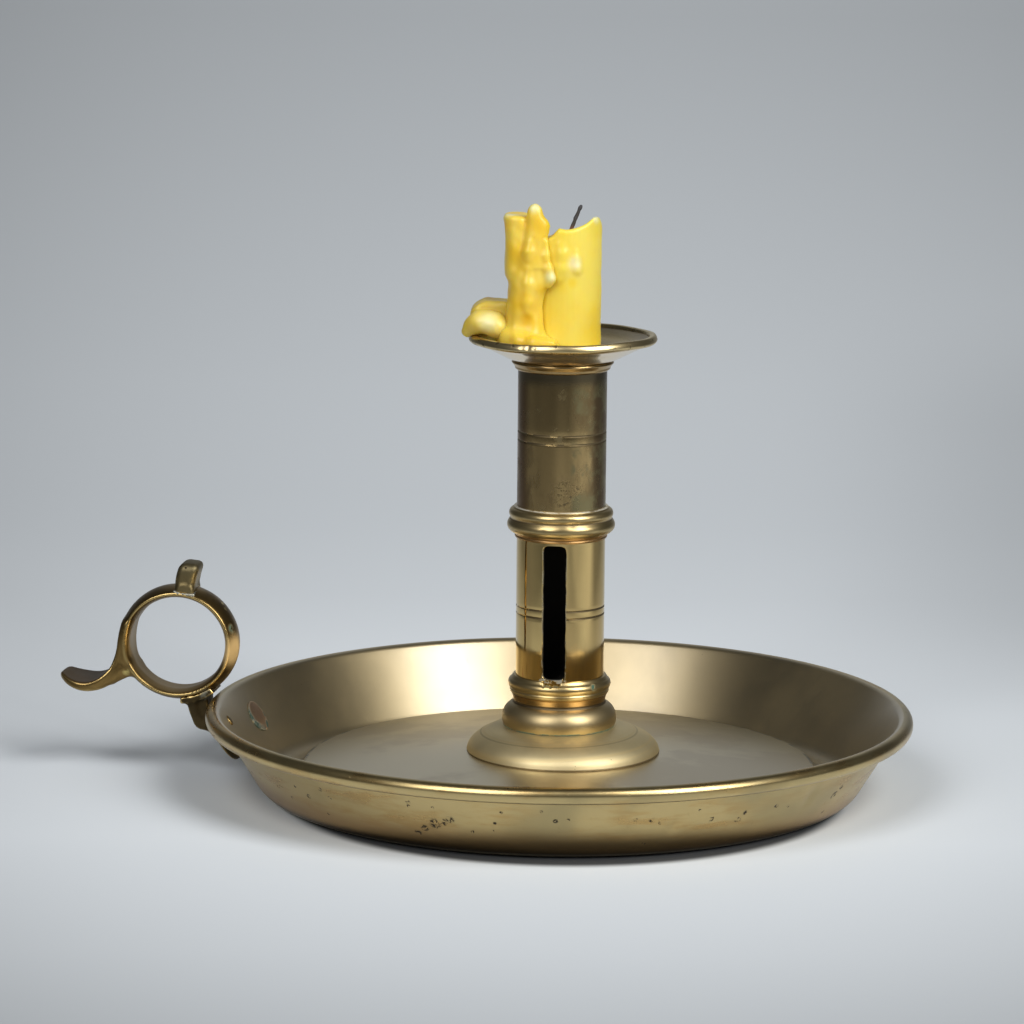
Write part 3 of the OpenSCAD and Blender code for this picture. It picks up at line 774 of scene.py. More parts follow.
BY_SLOT = {
    "pan_brass": pan_brass, "collar_brass": collar_brass, "tube_brass": tube_brass,
    "handle_brass": handle_brass, "rivet_copper": copper, "iron_wire": iron,
    "candle_wax": candle_wax, "wick_cotton": wick_char,
}


# ---------------------------------------------------------------- turned brass

def dents(marks):
    """A shape function: each mark is (azimuth, height, wide, tall, depth), angles in degrees, sizes in mm."""
    def push(r, a, z):
        moved = r.copy()
        for azimuth, height, wide, tall, depth in marks:
            turn = (np.degrees(a) - azimuth + 180) % 360 - 180
            across_mm = np.radians(turn) * r
            moved -= depth * np.exp(-(across_mm / wide) ** 2 - ((z - height) / tall) ** 2)
        return moved, a, z
    return push


def pan_section():
    lean = math.radians(WALL_LEAN)
    wall_in = (PAN_ROLL[0] - PAN_ROLL_R * math.cos(lean), PAN_ROLL[1] + PAN_ROLL_R * math.sin(lean))
    top = rounded([(4, FLOOR_H), (12, FLOOR_H, 6), (*CREASE, 0.45), (MOAT_R, SHEET, 0.9), (FOOT_C[0], SHEET)])
    foot_in = arc(FOOT_C, FOOT_R - SHEET, -90, -WALL_LEAN)[1:]
    roll = arc(PAN_ROLL, PAN_ROLL_R, 180 - WALL_LEAN, -118, 40)
    lip = [(92.75, 18.25), (92.62, 18.75), (92.35, 18.95), (92.05, 18.65)]
    foot_out = arc(FOOT_C, FOOT_R, -WALL_LEAN, -90)
    under = rounded([(FOOT_C[0], 0), (MOAT_R - 0.6, 0, 0.5), (CREASE[0] - 0.7, CREASE[1] - SHEET, 0.8),
                     (12, FLOOR_H - SHEET, 6), (4, FLOOR_H - SHEET)])[1:]
    return np.vstack([top, foot_in, [wall_in], roll[1:], lip, foot_out, under])


PAN_DENTS = [
    (-101.0, 9.0, 2.6, 1.6, 0.18), (-104.4, 6.9, 1.2, 0.8, 0.15), (-97.6, 11.0, 1.4, 0.9, 0.15),
    (-62.0, 9.5, 1.6, 2.0, 0.2), (-34.0, 12.0, 1.8, 2.6, 0.25), (-70.0, 8.0, 2.4, 1.4, 0.12),
    (-120.0, 11.0, 3.0, 3.0, 0.2), (-45.0, 7.0, 4.0, 3.0, 0.25), (-88.0, 6.0, 5.0, 3.0, 0.15),
]


def pan_shape(r, a, z):
    """Slightly out of round, with a few soft dents in the outside of its wall."""
    r, a, z = dents(PAN_DENTS)(r, a, z)
    wall = np.clip((r - 76.0) / 16.0, 0, 1)
    wave = 0.10 * np.sin(3 * a + 0.8) + 0.06 * np.sin(5 * a + 2.0) + 0.04 * np.sin(9 * a)
    r = r - wall * np.abs(wave) * 0.8
    z = z - wall * 0.10 * (1 + np.sin(2 * a + 1.3)) * 0.5
    return r, a, z


def make_pan():
    turned("pan_sheet", pan_section(), pan_brass, "stick", ["pan"], 900, 1.6, pan_shape)


def boss_shape(r, a, z):
    """The boss was soldered on a little off centre, to the right of the stem."""
    share = np.clip((r - 15.0) / 9.0, 0, 1)
    x, y = r * np.cos(a) + 1.15 * share, r * np.sin(a) + 0.17 * share
    moved = np.hypot(x, y)
    return moved, np.arctan2(y, x), z - 0.085 * (moved - r) * share


def make_boss():
    dome = [(10 + 16.2 * math.cos(math.radians(v)) ** 1.04, 10.55 + 7.25 * math.sin(math.radians(v)) ** 1.04)
            for v in range(4, 74, 3)]
    dome = [(r, z - 0.08 * math.exp(-((r - 21.35) / 0.22) ** 2)) for r, z in dome]
    edge = rounded([(4, FLOOR_H), (12, FLOOR_H), (26.25, 10.18, 0.1), (26.3, 10.5, 0.15), dome[0]])
    section = np.vstack([edge, dome[1:], [(14.6, 17.62), (13.4, 17.5), (TUBE_R, 17.5), (TUBE_R, 13), (4, 13)]])
    turned("foot_boss", section, boss_brass, "stick", ["stem_boss"], 360, 0.8, boss_shape)


def make_base_collar():
    big = arc((11, 19.6), 4.6, -27.2, 68, 24)
    small = arc((12.4, 29.3), 1.55, -20, 62, 12)
    section = np.vstack([
        [(TUBE_R, 17.5)], big,
        rounded([(12.62, 24.0), (12.5, 24.35, 0.2), (12.6, 24.9, 0.4), (12.85, 26.2, 1.5), (13.4, 26.9, 0.3),
                 (13.5, 27.5, 0.3), (13.3, 27.95, 0.2), (13.75, 28.4)]),
        small, rounded([(12.9, 31.05), (12.6, 31.55, 0.3), (TUBE_R, 31.6)])])

    def nick(r, a, z):
        """The worn notch in the lip, in front of the slot."""
        front = (np.degrees(a) + 90 + 180) % 360 - 180
        side = np.radians(front) * 13.0
        near = 1 / (1 + np.exp((np.abs(side + 0.4) - 2.3) / 0.22))
        ragged = 0.22 * np.sin(side * 2.9) + 0.12 * np.sin(side * 6.1 + 1)
        floor_z = 30.35 + ragged
        top = np.minimum(z, floor_z)
        return r, a, np.where(z > floor_z, z + (top - z) * near, z)
    turned("base_collar_turned", section, collar_brass, "stick", ["base_collar"], 720, 0.5, nick)


def make_mid_collar():
    section = np.vstack([
        rounded([(TUBE_R, 69.4), (12.35, 69.4, 0.15), (12.55, 69.8, 0.2), (12.35, 70.15, 0.1), (12.75, 70.5, 0.2),
                 (12.94, 70.84)]),
        arc((12.5, 72.9), 2.1, -76, 36, 20),
        [(13.78, 74.72)],
        arc((12.6, 76.05), 1.5, -32, 66, 14),
        rounded([(13.0, 77.55), (12.75, 77.95, 0.3), (TUBE_R, 78.0)])])
    turned("mid_collar_turned", section, collar_brass, "stick", ["mid_collar"], 360, 0.6,
           dents([(-70, 75.0, 1.0, 1.0, 0.12), (-101, 73.0, 0.8, 0.6, 0.08)]))


def make_neck_ring():
    section = rounded([(TUBE_R, 115.1), (12.3, 115.1, 0.25), (12.85, 115.5, 0.35), (12.95, 116.1, 0.6), (13.8, 117.1, 0.3),
                       (13.6, 117.7, 0.3), (TUBE_R, 117.7)])
    turned("neck_ring_turned", section, collar_brass, "stick", ["neck_ring"], 360, 0.4)


def drip_shape(r, a, z):
    """The rim has been knocked: small dents in front, a gentle wave round its left side."""
    r, a, z = dents([(-107, 124.0, 1.0, 1.2, 0.15), (-103.5, 124.2, 0.7, 0.8, 0.2)])(r, a, z)
    rim = np.clip((r - 20.0) / 4.0, 0, 1) ** 2
    z = z + rim * (0.18 * np.sin(2 * a + 2.6) - 0.18 + 0.08 * np.sin(7 * a))
    return r, a, z


def make_drip_pan():
    centre = (24.2, 123.8)
    inside = rounded([(TUBE_IN_R, 120.2), (13.5, 120.5, 6), (18, 121.8, 14), (23.0, 123.95)])
    bead = arc(centre, 1.2, 150, 66, 8)[:-1] + arc((23.355, 123.406), 2.0, 48, 2, 10) + arc(centre, 1.2, -16, -120, 10)[1:]
    under = rounded([(23.2, 122.35), (20.5, 121.1, 10), (18.4, 120.0, 10), (15, 118.3, 4), (13.55, 117.75, 0.2),
                     (TUBE_R, 117.7)])
    section = np.vstack([inside, bead, under, [(TUBE_R, 118.5), (TUBE_IN_R, 118.5)]])
    turned("drip_pan_turned", section, drip_brass, "stick", ["drip_pan"], 480, 0.7, drip_shape)


# ---------------------------------------------------------------- the tube, with its slot

SLOT_END = 2.2
SLOT_POWER = 3.5


def slot_half_angle(z):
    """Half the slot's opening, as an angle about the axis, at a height. Its ends are square with soft corners."""
    u = np.clip(np.minimum(z - SLOT_Z[0], SLOT_Z[1] - z) / SLOT_END, 0, 1)
    half = SLOT_HALF * (1 - (1 - u) ** SLOT_POWER) ** (1 / SLOT_POWER)
    wander = 1 + 0.02 * np.sin(z * 0.7) + 0.012 * np.sin(z * 1.9 + 1)
    return np.arcsin(half * wander / TUBE_R)


def tube_rows():
    """Heights of the tube's rows, close together at the slot's ends and at the scribed lines."""
    rows = list(np.arange(13, 118.6, 1.5)) + [118.5]
    for end, way in ((SLOT_Z[0], 1), (SLOT_Z[1], -1)):
        shares = np.linspace(0.3, 1, 24)
        rows += [end + way * SLOT_END * (1 - (1 - f ** SLOT_POWER) ** (1 / SLOT_POWER)) for f in shares]
        rows.append(end - way * 0.01)
    for line in (48.6, 50.6, 96.0, 98.3):
        rows += [line - 0.12, line, line + 0.12, line + 0.24, line + 0.36, line + 0.48]
    rows = sorted(rows)
    return np.array([z for i, z in enumerate(rows) if i == 0 or z - rows[i - 1] > 0.004])


def make_tube():
    rows = tube_rows()
    columns = 200
    bevel = 0.28
    verts, faces, loops = [], [], []
    for z in rows:
        gap = float(slot_half_angle(z))
        open_here = gap > 1e-6
        soft = bevel / TUBE_R if open_here else 0
        groove = sum(0.07 * math.exp(-((z - c - 0.18) / 0.15) ** 2) for c in (48.6, 50.6, 96.0, 98.3))
        start = -math.pi / 2 + gap + soft
        a = start + np.linspace(0, 1, columns + 1) * (2 * math.pi - 2 * (gap + soft))
        outer = [((TUBE_R - groove) * math.cos(v), (TUBE_R - groove) * math.sin(v), z) for v in a]
        inner = [(TUBE_IN_R * math.cos(v), TUBE_IN_R * math.sin(v), z) for v in a[::-1]]
        loop = outer + inner
        if open_here:
            for end, sign in ((a[-1], 1), (a[0], -1)):
                side = []
                for k in (1, 2, 3):
                    turn = math.radians(90 * k / 3)
                    v = end + sign * soft * math.sin(turn)
                    r = TUBE_R - bevel * (1 - math.cos(turn))
                    side.append((r * math.cos(v), r * math.sin(v), z))
                if sign > 0:
                    right = side
                else:
                    left = side[::-1]
            loop = outer + right + inner + left
        loops.append((len(verts), len(loop), open_here))
        verts += loop
    n = columns + 1
    for (s0, c0, o0), (s1, c1, o1) in zip(loops[:-1], loops[1:]):
        in0, in1 = (s0 + n + 3 if o0 else s0 + n), (s1 + n + 3 if o1 else s1 + n)
        for k in range(columns):
            faces.append((s0 + k, s0 + k + 1, s1 + k + 1, s1 + k))
            faces.append((in0 + k, in0 + k + 1, in1 + k + 1, in1 + k))
        if o0 and o1:
            for k in list(range(n - 1, n + 3)) + list(range(2 * n + 2, 2 * n + 5)):
                faces.append((s0 + k, s0 + k + 1, s1 + k + 1, s1 + k))
            last = 2 * n + 5
            faces.append((s0 + last, s0, s1, s1 + last))
        elif o0 or o1:
            wide, thin = (s0, s1) if o0 else (s1, s0)
            cap_right = [wide + k for k in range(n - 1, n + 4)]
            cap_left = [wide + k for k in range(2 * n + 2, 2 * n + 6)] + [wide]
            meet = [thin + n - 1, thin + n]
            other = [thin + 2 * n - 1, thin]
            for strip, (p, q) in ((cap_right, meet), (cap_left, other)):
                face = strip + [q, p] if wide == s1 else (strip + [q, p])[::-1]
                faces.append(face if wide == s0 else face)
    ends = [(loops[0][0], -1), (loops[-1][0], 1)]
    for s, way in ends:
        for k in range(n - 1):
            quad = [s + k, s + k + 1, s + 2 * n - 2 - k, s + 2 * n - 1 - k]
            faces.append(tuple(quad[::-1]) if way > 0 else tuple(quad))
    piece = keep("stem_tube_drawn", verts, faces, tube_brass, "stick", ["stem_tube"], 30)
    tidy_mesh(piece, 0.002)


def tidy_mesh(piece, gap_mm):
    """Joins points that coincide, drops empty faces and turns every face outward."""
    import bmesh
    work = bmesh.new()
    work.from_mesh(piece.data)
    bmesh.ops.remove_doubles(work, verts=work.verts, dist=gap_mm * MM)
    bmesh.ops.dissolve_degenerate(work, dist=gap_mm * MM * 0.5, edges=work.edges)
    bmesh.ops.recalc_face_normals(work, faces=work.faces)
    work.to_mesh(piece.data)
    work.free()


# ---------------------------------------------------------------- the handle

RING_IN = 12.9
RING_T = 3.4
RING_CROWN = 1.7
RING_OVAL = (0.98, 1.02)
STRAP_HALF_W = 5.75
TAIL = [(-119.9, 41.0, 0.9), (-120.6, 37.0, 1.15), (-121.1, 33.6, 1.4), (-121.8, 30.4, 1.7), (-123.2, 27.5, 1.8),
        (-126.1, 25.1, 1.6), (-129.4, 24.1, 1.3), (-132.6, 24.2, 1.15), (-135.5, 25.0, 1.0), (-137.9, 26.2, 0.85)]
FORK = [(-123.8, 26.0, 1.5), (-121.2, 27.6, 1.9), (-118.9, 28.2, 1.5)]
HORN = [(-103.5, 49.5, 2.55), (-103.5, 52.4, 2.7), (-103.0, 55.2, 2.8), (-102.1, 58.0, 2.75), (-101.0, 61.5, 2.6)]


def smooth_path(points, steps=6):
    """A Catmull-Rom line through points of any width."""
    p = np.array(points, float)
    p = np.vstack([2 * p[0] - p[1], p, 2 * p[-1] - p[-2]])
    out = []
    for i in range(1, len(p) - 2):
        for k in range(steps):
            t = k / steps
            out.append(0.5 * (2 * p[i] + (p[i + 1] - p[i - 1]) * t
                              + (2 * p[i - 1] - 5 * p[i] + 4 * p[i + 1] - p[i + 2]) * t * t
                              + (3 * p[i] - p[i - 1] - 3 * p[i + 1] + p[i + 2]) * t ** 3))
    out.append(p[-2])
    return np.array(out)


def strap(x, y, z, points, half_width, edge):
    """A flat strap along a path in X and Z whose half thickness is the third value of each point."""
    path = smooth_path(points)
    away, side, s = along(x, z, path[:, :2])
    gaps = np.linalg.norm(np.diff(path[:, :2], axis=0), axis=1)
    places = np.concatenate([[0], np.cumsum(gaps)]) / gaps.sum()
    half = np.interp(s, places, path[:, 2])
    width = half_width(x, s) if callable(half_width) else half_width
    return box_field(away, y, half, width, np.minimum(edge, half * 0.95))


def paddle_half(x, s):
    flare = np.clip((-120.5 - x) / 10.5, 0, 1)
    flare = flare * flare * (3 - 2 * flare)
    body = 5.1 + 3.3 * flare
    tip = np.sqrt(np.maximum(8.4 ** 2 - np.maximum(0, -131 - x) ** 2, 0.01))
    return np.minimum(body, tip)


def ring_radius(x, z):
    return np.hypot((x - RING_C[0]) * RING_OVAL[0], (z - RING_C[1]) * RING_OVAL[1])


def ring_outer(y):
    """The strap's outside is crowned, so that its edges are thin."""
    return RING_IN + RING_T - RING_CROWN * np.minimum(np.abs(y) / STRAP_HALF_W, 1.1) ** 2


def ring_field(x, y, z):
    rho = ring_radius(x, z)
    inner = RING_IN + 1.25 * np.abs(y / STRAP_HALF_W) ** 3
    ring = soft_cap(rho - ring_outer(y), inner - rho, 0.5)
    ring = soft_cap(ring, np.abs(y) - STRAP_HALF_W, 0.7)
    tail = strap(x, y, z, TAIL, paddle_half, 0.8)
    fork = strap(x, y, z, FORK, 5.0, 1.2)
    both = blend_in(blend_in(ring, tail, 2.0), fork, 1.6)
    both = np.maximum(both, RING_IN + 0.1 - rho)
    return both + ripple(x, y, z, 9.0, 3, 0.05)


def thumb_field(x, y, z):
    horn = strap(x, y, z, HORN, lambda px, s: 4.8 - 0.5 * s ** 3, 1.9)
    horn = soft_cap(horn, z + 0.09 * (x + 102.4) - 58.9 + 0.02 * y * y, 2.2)
    horn = blend_in(horn, strap(x, y, z, [(-103.3, 50.0, 2.8), (-103.3, 50.9, 2.6)], 4.9, 1.0), 0.8)
    seat = ring_radius(x, z) - ring_outer(y) + 0.15
    horn = np.maximum(horn, -seat)
    return horn + ripple(x, y, z, 5.0, 8, 0.05)


def wall_place(x, y, z, azimuth=0.0):
    """Place seen from the wall: depth into the pan, sideways, and height up the slope."""
    a, lean = math.radians(azimuth), math.radians(WALL_LEAN)
    px = x * math.cos(a) - y * math.sin(a) + 80.61
    py = x * math.sin(a) + y * math.cos(a)
    return px * math.cos(lean) + z * math.sin(lean), py, -px * math.sin(lean) + z * math.cos(lean)


def bracket_field(x, y, z):
    depth, side, up = wall_place(x, y, z)
    lobe = np.hypot(np.abs(side) - 12.2, up - 15.4) - 6.5
    lobe = blend_in(lobe, np.hypot(side, up - 12.5) - 6.0, 1.5)
    lobe = blend_in(lobe, box_field(side, up - 15.4, 12.2, 4.5, 0.5), 1.0)
    q1, q2 = lobe + 0.6, np.abs(depth + 1.1) - 1.1 + 0.6
    plate = np.hypot(np.maximum(q1, 0), np.maximum(q2, 0)) + np.minimum(np.maximum(q1, q2), 0) - 0.6
    neck = strap(x, y, z, [(-88.8, 11.6, 1.2), (-93.5, 12.3, 1.2), (-97.0, 13.2, 1.15), (-99.5, 14.8, 1.15),
                           (-100.9, 17.4, 1.15), (-101.5, 20.6, 1.3)], lambda px, s: 5.0 - 0.8 * np.sin(s * 3.14), 0.7)
    gusset = strap(x, y, z, [(-98.9, 14.6, 2.0), (-98.9, 18.0, 2.2), (-99.2, 21.4, 2.0)], 4.2, 0.8)
    rho = ring_radius(x, z)
    turn = np.degrees(np.arctan2(z - RING_C[1], x - RING_C[0]))
    saddle = box_field(rho - 15.7, y, 1.3, 5.0, 0.4)
    saddle = np.maximum(saddle, (np.abs(turn + 75.5) - 24) * 0.28)
    solid = blend_in(blend_in(blend_in(plate, neck, 1.4), saddle, 1.2), gusset, 1.2)
    radius = np.hypot(x, y)
    wall = (radius - 80.61 - 0.618 * z) * math.cos(math.radians(WALL_LEAN))
    roll = np.hypot(radius - PAN_ROLL[0], z - PAN_ROLL[1]) - PAN_ROLL_R - 0.12
    solid = np.maximum(solid, 0.03 - np.minimum(wall, roll))
    solid = np.maximum(solid, ring_outer(y) - rho + 0.03)
    return soft_cap(solid, -104.6 - x, 0.5) + ripple(x, y, z, 7.0, 5, 0.05)


def rivet_field(azimuth, up, head, shank, inside, outside):
    """A rivet through wall and leaf: a low head inside the pan and a burr outside."""
    def field(x, y, z):
        depth, side, height = wall_place(x, y, z, azimuth)
        rr = np.hypot(side, height - up)
        rr = rr + 0.12 * np.sin(3 * np.arctan2(height - up, side) + 1.0) * head / 4.6
        dome = inside - 0.45 * inside * (rr / head) ** 2
        cap = box_field(rr, depth - (SHEET + dome / 2 - 0.1), head, dome / 2 + 0.1, 0.25 * inside + 0.08)
        pin = np.maximum(rr - shank, np.abs(depth - (SHEET + outside) / 2) - (SHEET - outside) / 2)
        burr = box_field(rr, depth - outside, shank * 1.45, 0.5, 0.35)
        return np.minimum(np.minimum(cap, pin), burr)
    return field


def solder_field(x, y, z):
    """Blobs of solder where the horn sits on the ring."""
    loop = [(-106.0, -4.7, 50.8, 0.55), (-104.9, -5.2, 50.6, 0.4), (-103.6, -5.3, 50.5, 0.26), (-102.2, -5.2, 50.3, 0.4),
            (-100.9, -4.9, 50.2, 0.6), (-100.5, -3.0, 50.6, 0.3), (-100.4, -0.5, 50.9, 0.28), (-100.5, 2.2, 50.8, 0.3),
            (-100.9, 4.7, 50.3, 0.34), (-103.0, 5.1, 50.5, 0.26), (-105.2, 4.9, 50.8, 0.3), (-106.0, 3.6, 51.1, 0.3),
            (-106.2, 0.5, 51.5, 0.26), (-106.1, -2.6, 51.2, 0.28), (-105.9, -4.8, 50.9, 0.36)]
    return run(x, y, z, loop, 0.4) + ripple(x, y, z, 1.6, 4, 0.06)


def make_handle():
    sculpt("finger_ring", ring_field, (-140.5, -9.5, 19.5), (-86.5, 9.5, 53.0), 0.4, handle_brass, "stick",
           ["handle_ring"])
    sculpt("thumb_horn", thumb_field, (-108.5, -6.2, 48.0), (-96.8, 6.2, 60.5), 0.25, horn_brass, "stick",
           ["thumb_rest"])
    sculpt("leaf_bracket", bracket_field, (-106.0, -19.5, 3.5), (-84.0, 19.5, 24.5), 0.35, bracket_brass, "stick",
           ["handle_bracket"])
    sculpt("copper_rivet_head", rivet_field(8, 14.7, 4.6, 2.3, 0.75, -3.0), (-96, 4.0, 3.0), (-80, 20.0, 21.5), 0.2,
           copper, "stick", ["copper_rivet"])
    sculpt("small_rivet_head", rivet_field(-8, 19.6, 1.5, 1.0, 0.6, -2.8), (-97, -17.0, 12.0), (-86, -9.0, 22.0), 0.12,
           handle_brass, "stick", ["small_rivet"])
    sculpt("horn_solder", solder_field, (-108.6, -6.6, 49.2), (-99.4, 6.6, 52.8), 0.18, solder, "stick")


# ---------------------------------------------------------------- the candle and its run wax

def turned_frame(x, y):
    """Wax is drawn square to the view: X to the right, Y away."""
    c, s = math.cos(math.radians(CANDLE_TURN)), math.sin(math.radians(CANDLE_TURN))
    return x * c + y * s, -x * s + y * c


def pillar(x, y, z, rows, power=2.3, cap=1.4):
    """A standing body of wax from rows of (height, left, right, front, back)."""
    rows = np.array(sorted(rows), float)
    fine = smooth_path(rows, 8)
    left, right, front, back = (np.interp(z, fine[:, 0], fine[:, k]) for k in (1, 2, 3, 4))
    half_x, half_y = (right - left) / 2, (back - front) / 2
    u = np.abs((x - (left + right) / 2) / half_x)
    v = np.abs((y - (front + back) / 2) / half_y)
    side = ((u ** power + v ** power) ** (1 / power) - 1) * np.minimum(half_x, half_y)
    return soft_cap(soft_cap(side, z - rows[-1, 0], cap), rows[0, 0] - z, 0.3)


WALL_ROWS = [
    (121.0, -17.8, -7.6, -11.0, 8.0), (124.5, -17.4, -7.6, -11.0, 7.0), (127.0, -16.4, -8.0, -10.8, 6.0),
    (130.0, -15.4, -8.2, -10.8, 5.4), (133.5, -15.1, -8.4, -10.8, 5.0), (136.5, -14.9, -8.4, -10.7, 4.8),
    (138.3, -14.8, -8.2, -10.5, 4.8), (139.6, -15.1, -8.2, -10.3, 4.8), (141.0, -15.7, -8.3, -10.1, 4.8),
    (143.5, -15.9, -8.4, -10.0, 4.6), (149.0, -15.7, -8.6, -9.8, 4.2), (153.5, -15.9, -8.7, -9.6, 3.8),
    (156.0, -16.2, -8.7, -9.5, 3.6), (157.2, -16.2, -8.7, -9.4, 3.6)]
COLUMN_ROWS = [
    (144.0, -11.0, -3.8, -11.6, -6.0), (146.5, -11.1, -4.3, -11.6, -6.0), (149.5, -11.0, -4.3, -11.5, -6.2),
    (151.8, -10.6, -4.2, -11.3, -6.2), (153.2, -10.4, -3.7, -11.1, -6.2), (154.8, -10.1, -3.5, -11.0, -6.2),
    (156.0, -10.0, -4.1, -10.9, -6.4), (157.2, -9.95, -5.2, -10.8, -6.8), (158.4, -9.85, -5.7, -10.6, -7.2),
    (159.6, -9.6, -5.9, -10.4, -7.6), (160.7, -9.4, -6.1, -10.2, -7.8)]
BODY_ROWS = [
    (120.5, -15.8, -3.2, -14.4, -3.0), (124.4, -15.2, -3.6, -14.0, -3.0), (126.6, -14.4, -4.9, -13.0, -3.4),
    (129.0, -14.0, -5.3, -12.4, -4.0), (132.2, -13.8, -5.6, -12.1, -4.4), (134.8, -13.7, -5.5, -12.1, -4.6),
    (136.8, -13.5, -4.8, -12.1, -4.8), (138.5, -13.2, -3.5, -12.1, -5.0), (140.5, -12.8, -2.9, -12.0, -5.2),
    (142.6, -12.2, -3.3, -11.8, -5.6), (144.6, -11.4, -3.8, -11.6, -6.0), (147.5, -10.8, -4.6, -11.2, -6.4)]


def gutter_field(gx, gy, z):
    """The wall, the column before it, the body they stand on and the apron round its foot."""
    x, y = turned_frame(gx, gy)
    wall = pillar(x, y, z, WALL_ROWS, 2.6, 1.2)
    solid = blend_in(wall, pillar(x, y, z, COLUMN_ROWS, 2.2, 2.2), 0.6)
    solid = blend_in(solid, pillar(x, y, z, BODY_ROWS, 2.3, 2.6), 1.5)
    ridge = run(x, y, z, [(-9.2, -11.0, 143.4, 0.4), (-9.3, -11.5, 139.5, 0.95), (-9.4, -11.6, 134.5, 1.05),
                          (-9.3, -11.6, 131.4, 0.8)], 1.2)
    upper = run(x, y, z, [(-9.0, -10.8, 150.4, 0.4), (-9.2, -11.0, 148.0, 0.9), (-9.3, -11.0, 146.4, 0.6)], 1.2)
    bright = run(x, y, z, [(-4.7, -10.4, 150.5, 0.4), (-4.6, -10.8, 147.0, 0.8), (-4.0, -11.0, 143.4, 1.0),
                           (-3.5, -11.0, 140.9, 1.2), (-3.9, -11.0, 139.2, 0.9)], 1.4)
    apron = run(x, y, z, [(-16.4, -5.4, 125.0, 1.7), (-14.4, -9.8, 124.7, 2.0), (-11.2, -13.0, 124.4, 2.0),
                          (-7.6, -15.2, 124.1, 1.9), (-4.4, -15.6, 123.8, 1.7), (-2.7, -14.4, 123.4, 1.3)], 1.8)
    spread = np.maximum(np.maximum(np.hypot(x, y) - 17.6, z - 124.6), np.maximum(x + 2.2, 119 - z))
    spread = np.maximum(spread, y - 4.0)
    for part, k in ((ridge, 1.3), (upper, 1.3), (bright, 1.3), (apron, 1.8), (spread, 1.2)):
        solid = blend_in(solid, part, k)
    solid = cut_out(solid, lump(x, y, z, (-10.6, -14.2, 129.0), (3.0, 2.4, 2.6)), 1.4)
    solid = cut_out(solid, np.hypot(x, y) - CANDLE_R + 0.1, 0.25)
    solid = solid + ripple(x, y, z, 9.0, 11, 0.10) + ripple(x, y, z, 3.6, 12, 0.035)
    return np.maximum(solid, 0.02 - dish_gap(gx, gy, z))


def dish_gap(x, y, z):
    """Distance above the drip pan's dish and rim, so that wax lies on it and not in it."""
    r = np.hypot(x, y)
    floor_z = np.interp(r, [0, 13.5, 18, 23.0, 24.2], [120.35, 120.6, 121.9, 124.05, 124.9])
    bead = np.hypot(r - 24.2, z - 123.8) - 1.2
    over_dish = np.minimum(z - floor_z, np.where(z > 123.0, bead, z - floor_z))
    return np.where(r < 24.2, over_dish, np.where(z < 123.8, r - 25.42, bead))


def spill_field(gx, gy, z):
    x, y = turned_frame(gx, gy)
    block = soft_cap(box_field(x + 19.4, y - 1.0, 5.6, 4.8, 1.9), z - 133.7 + 0.05 * (x + 19.4), 1.6)
    block = soft_cap(block, (z - 131.6 - 0.75 * (x + 24.6)) * 0.8, 1.4)
    block = soft_cap(block, 121.0 - z, 0.3)
    front = lump(x, y, z, (-20.6, -5.6, 128.3), (5.2, 4.4, 3.3))
    right = lump(x, y, z, (-17.8, -7.4, 127.4), (3.4, 3.4, 3.1))
    toe = run(x, y, z, [(-22.8, -5.6, 128.4, 2.3), (-24.5, -4.9, 126.9, 2.0), (-25.6, -4.3, 125.6, 1.5)], 1.5)
    solid = blend_in(block, front, 0.9)
    solid = blend_in(solid, right, 1.2)
    solid = blend_in(solid, toe, 1.6)
    solid = solid + ripple(x, y, z, 7.0, 31, 0.10) + ripple(x, y, z, 3.0, 32, 0.04)
    return np.maximum(solid, 0.02 - dish_gap(gx, gy, z))


RIM = ([-10.4, -7.0, -4.4, -3.0, -1.4, 0.6, 2.0, 3.6, 5.0, 6.2, 7.4, 8.4, 9.2, 10.2],
       [151.0, 151.2, 151.4, 152.1, 154.0, 153.7, 153.9, 154.3, 154.8, 155.5, 156.4, 156.9, 156.5, 154.8])


def candle_field(gx, gy, z):
    """The stub: a thin melted rim, high on the right, round a hollow with the wick in it."""
    x, y = turned_frame(gx, gy)
    r = np.hypot(x, y)
    turn = np.arctan2(y, x)
    body = r - CANDLE_R + 0.04 * np.sin(5 * turn) + 0.012 * np.sin(41 * turn + 0.3 * np.sin(z * 0.2))
    left_front = np.clip((3.0 - x) / 9.0, 0, 1) * np.clip(-y / 5.0, 0, 1)
    edge = 138.4 + 0.45 * np.clip(x + 4, 0, 8) + 0.5 * np.sin(x * 1.3)
    melted = left_front / (1 + np.exp(-(z - edge) / 0.22)) * np.clip((154 - z) / 6, 0, 1)
    body = body - 0.55 * melted
    rim = np.interp(x, *RIM)
    behind = np.clip((y + 1.0) / 8.0, 0, 1)
    rim = rim - behind * (2.6 + 0.25 * np.clip(x, -9, 9))
    solid = soft_cap(soft_cap(body, z - rim, 1.1), 80.35 - z, 0.2)
    bowl = lump(x, y, z, (0.3, 0.2, 156.2), (8.6, 8.5, 6.4))
    solid = cut_out(solid, bowl, 0.7)
    drip = run(x, y, z, [(2.9, -8.8, 148.0, 0.9), (3.0, -8.7, 146.2, 1.2), (3.2, -8.5, 143.6, 1.55), (3.3, -8.5, 142.9, 1.5)],
               1.0)
    ridge = run(x, y, z, [(-0.9, -9.6, 149.6, 0.5), (-0.4, -9.8, 147.4, 0.9), (-0.6, -9.8, 143.4, 1.1), (-1.0, -9.7, 141.2, 0.7)], 1.2)
    solid = blend_in(solid, drip, 0.8)
    solid = blend_in(solid, ridge, 1.8)
    return solid + ripple(x, y, z, 7.0, 21, 0.05) + ripple(x, y, z, 2.8, 22, 0.015)


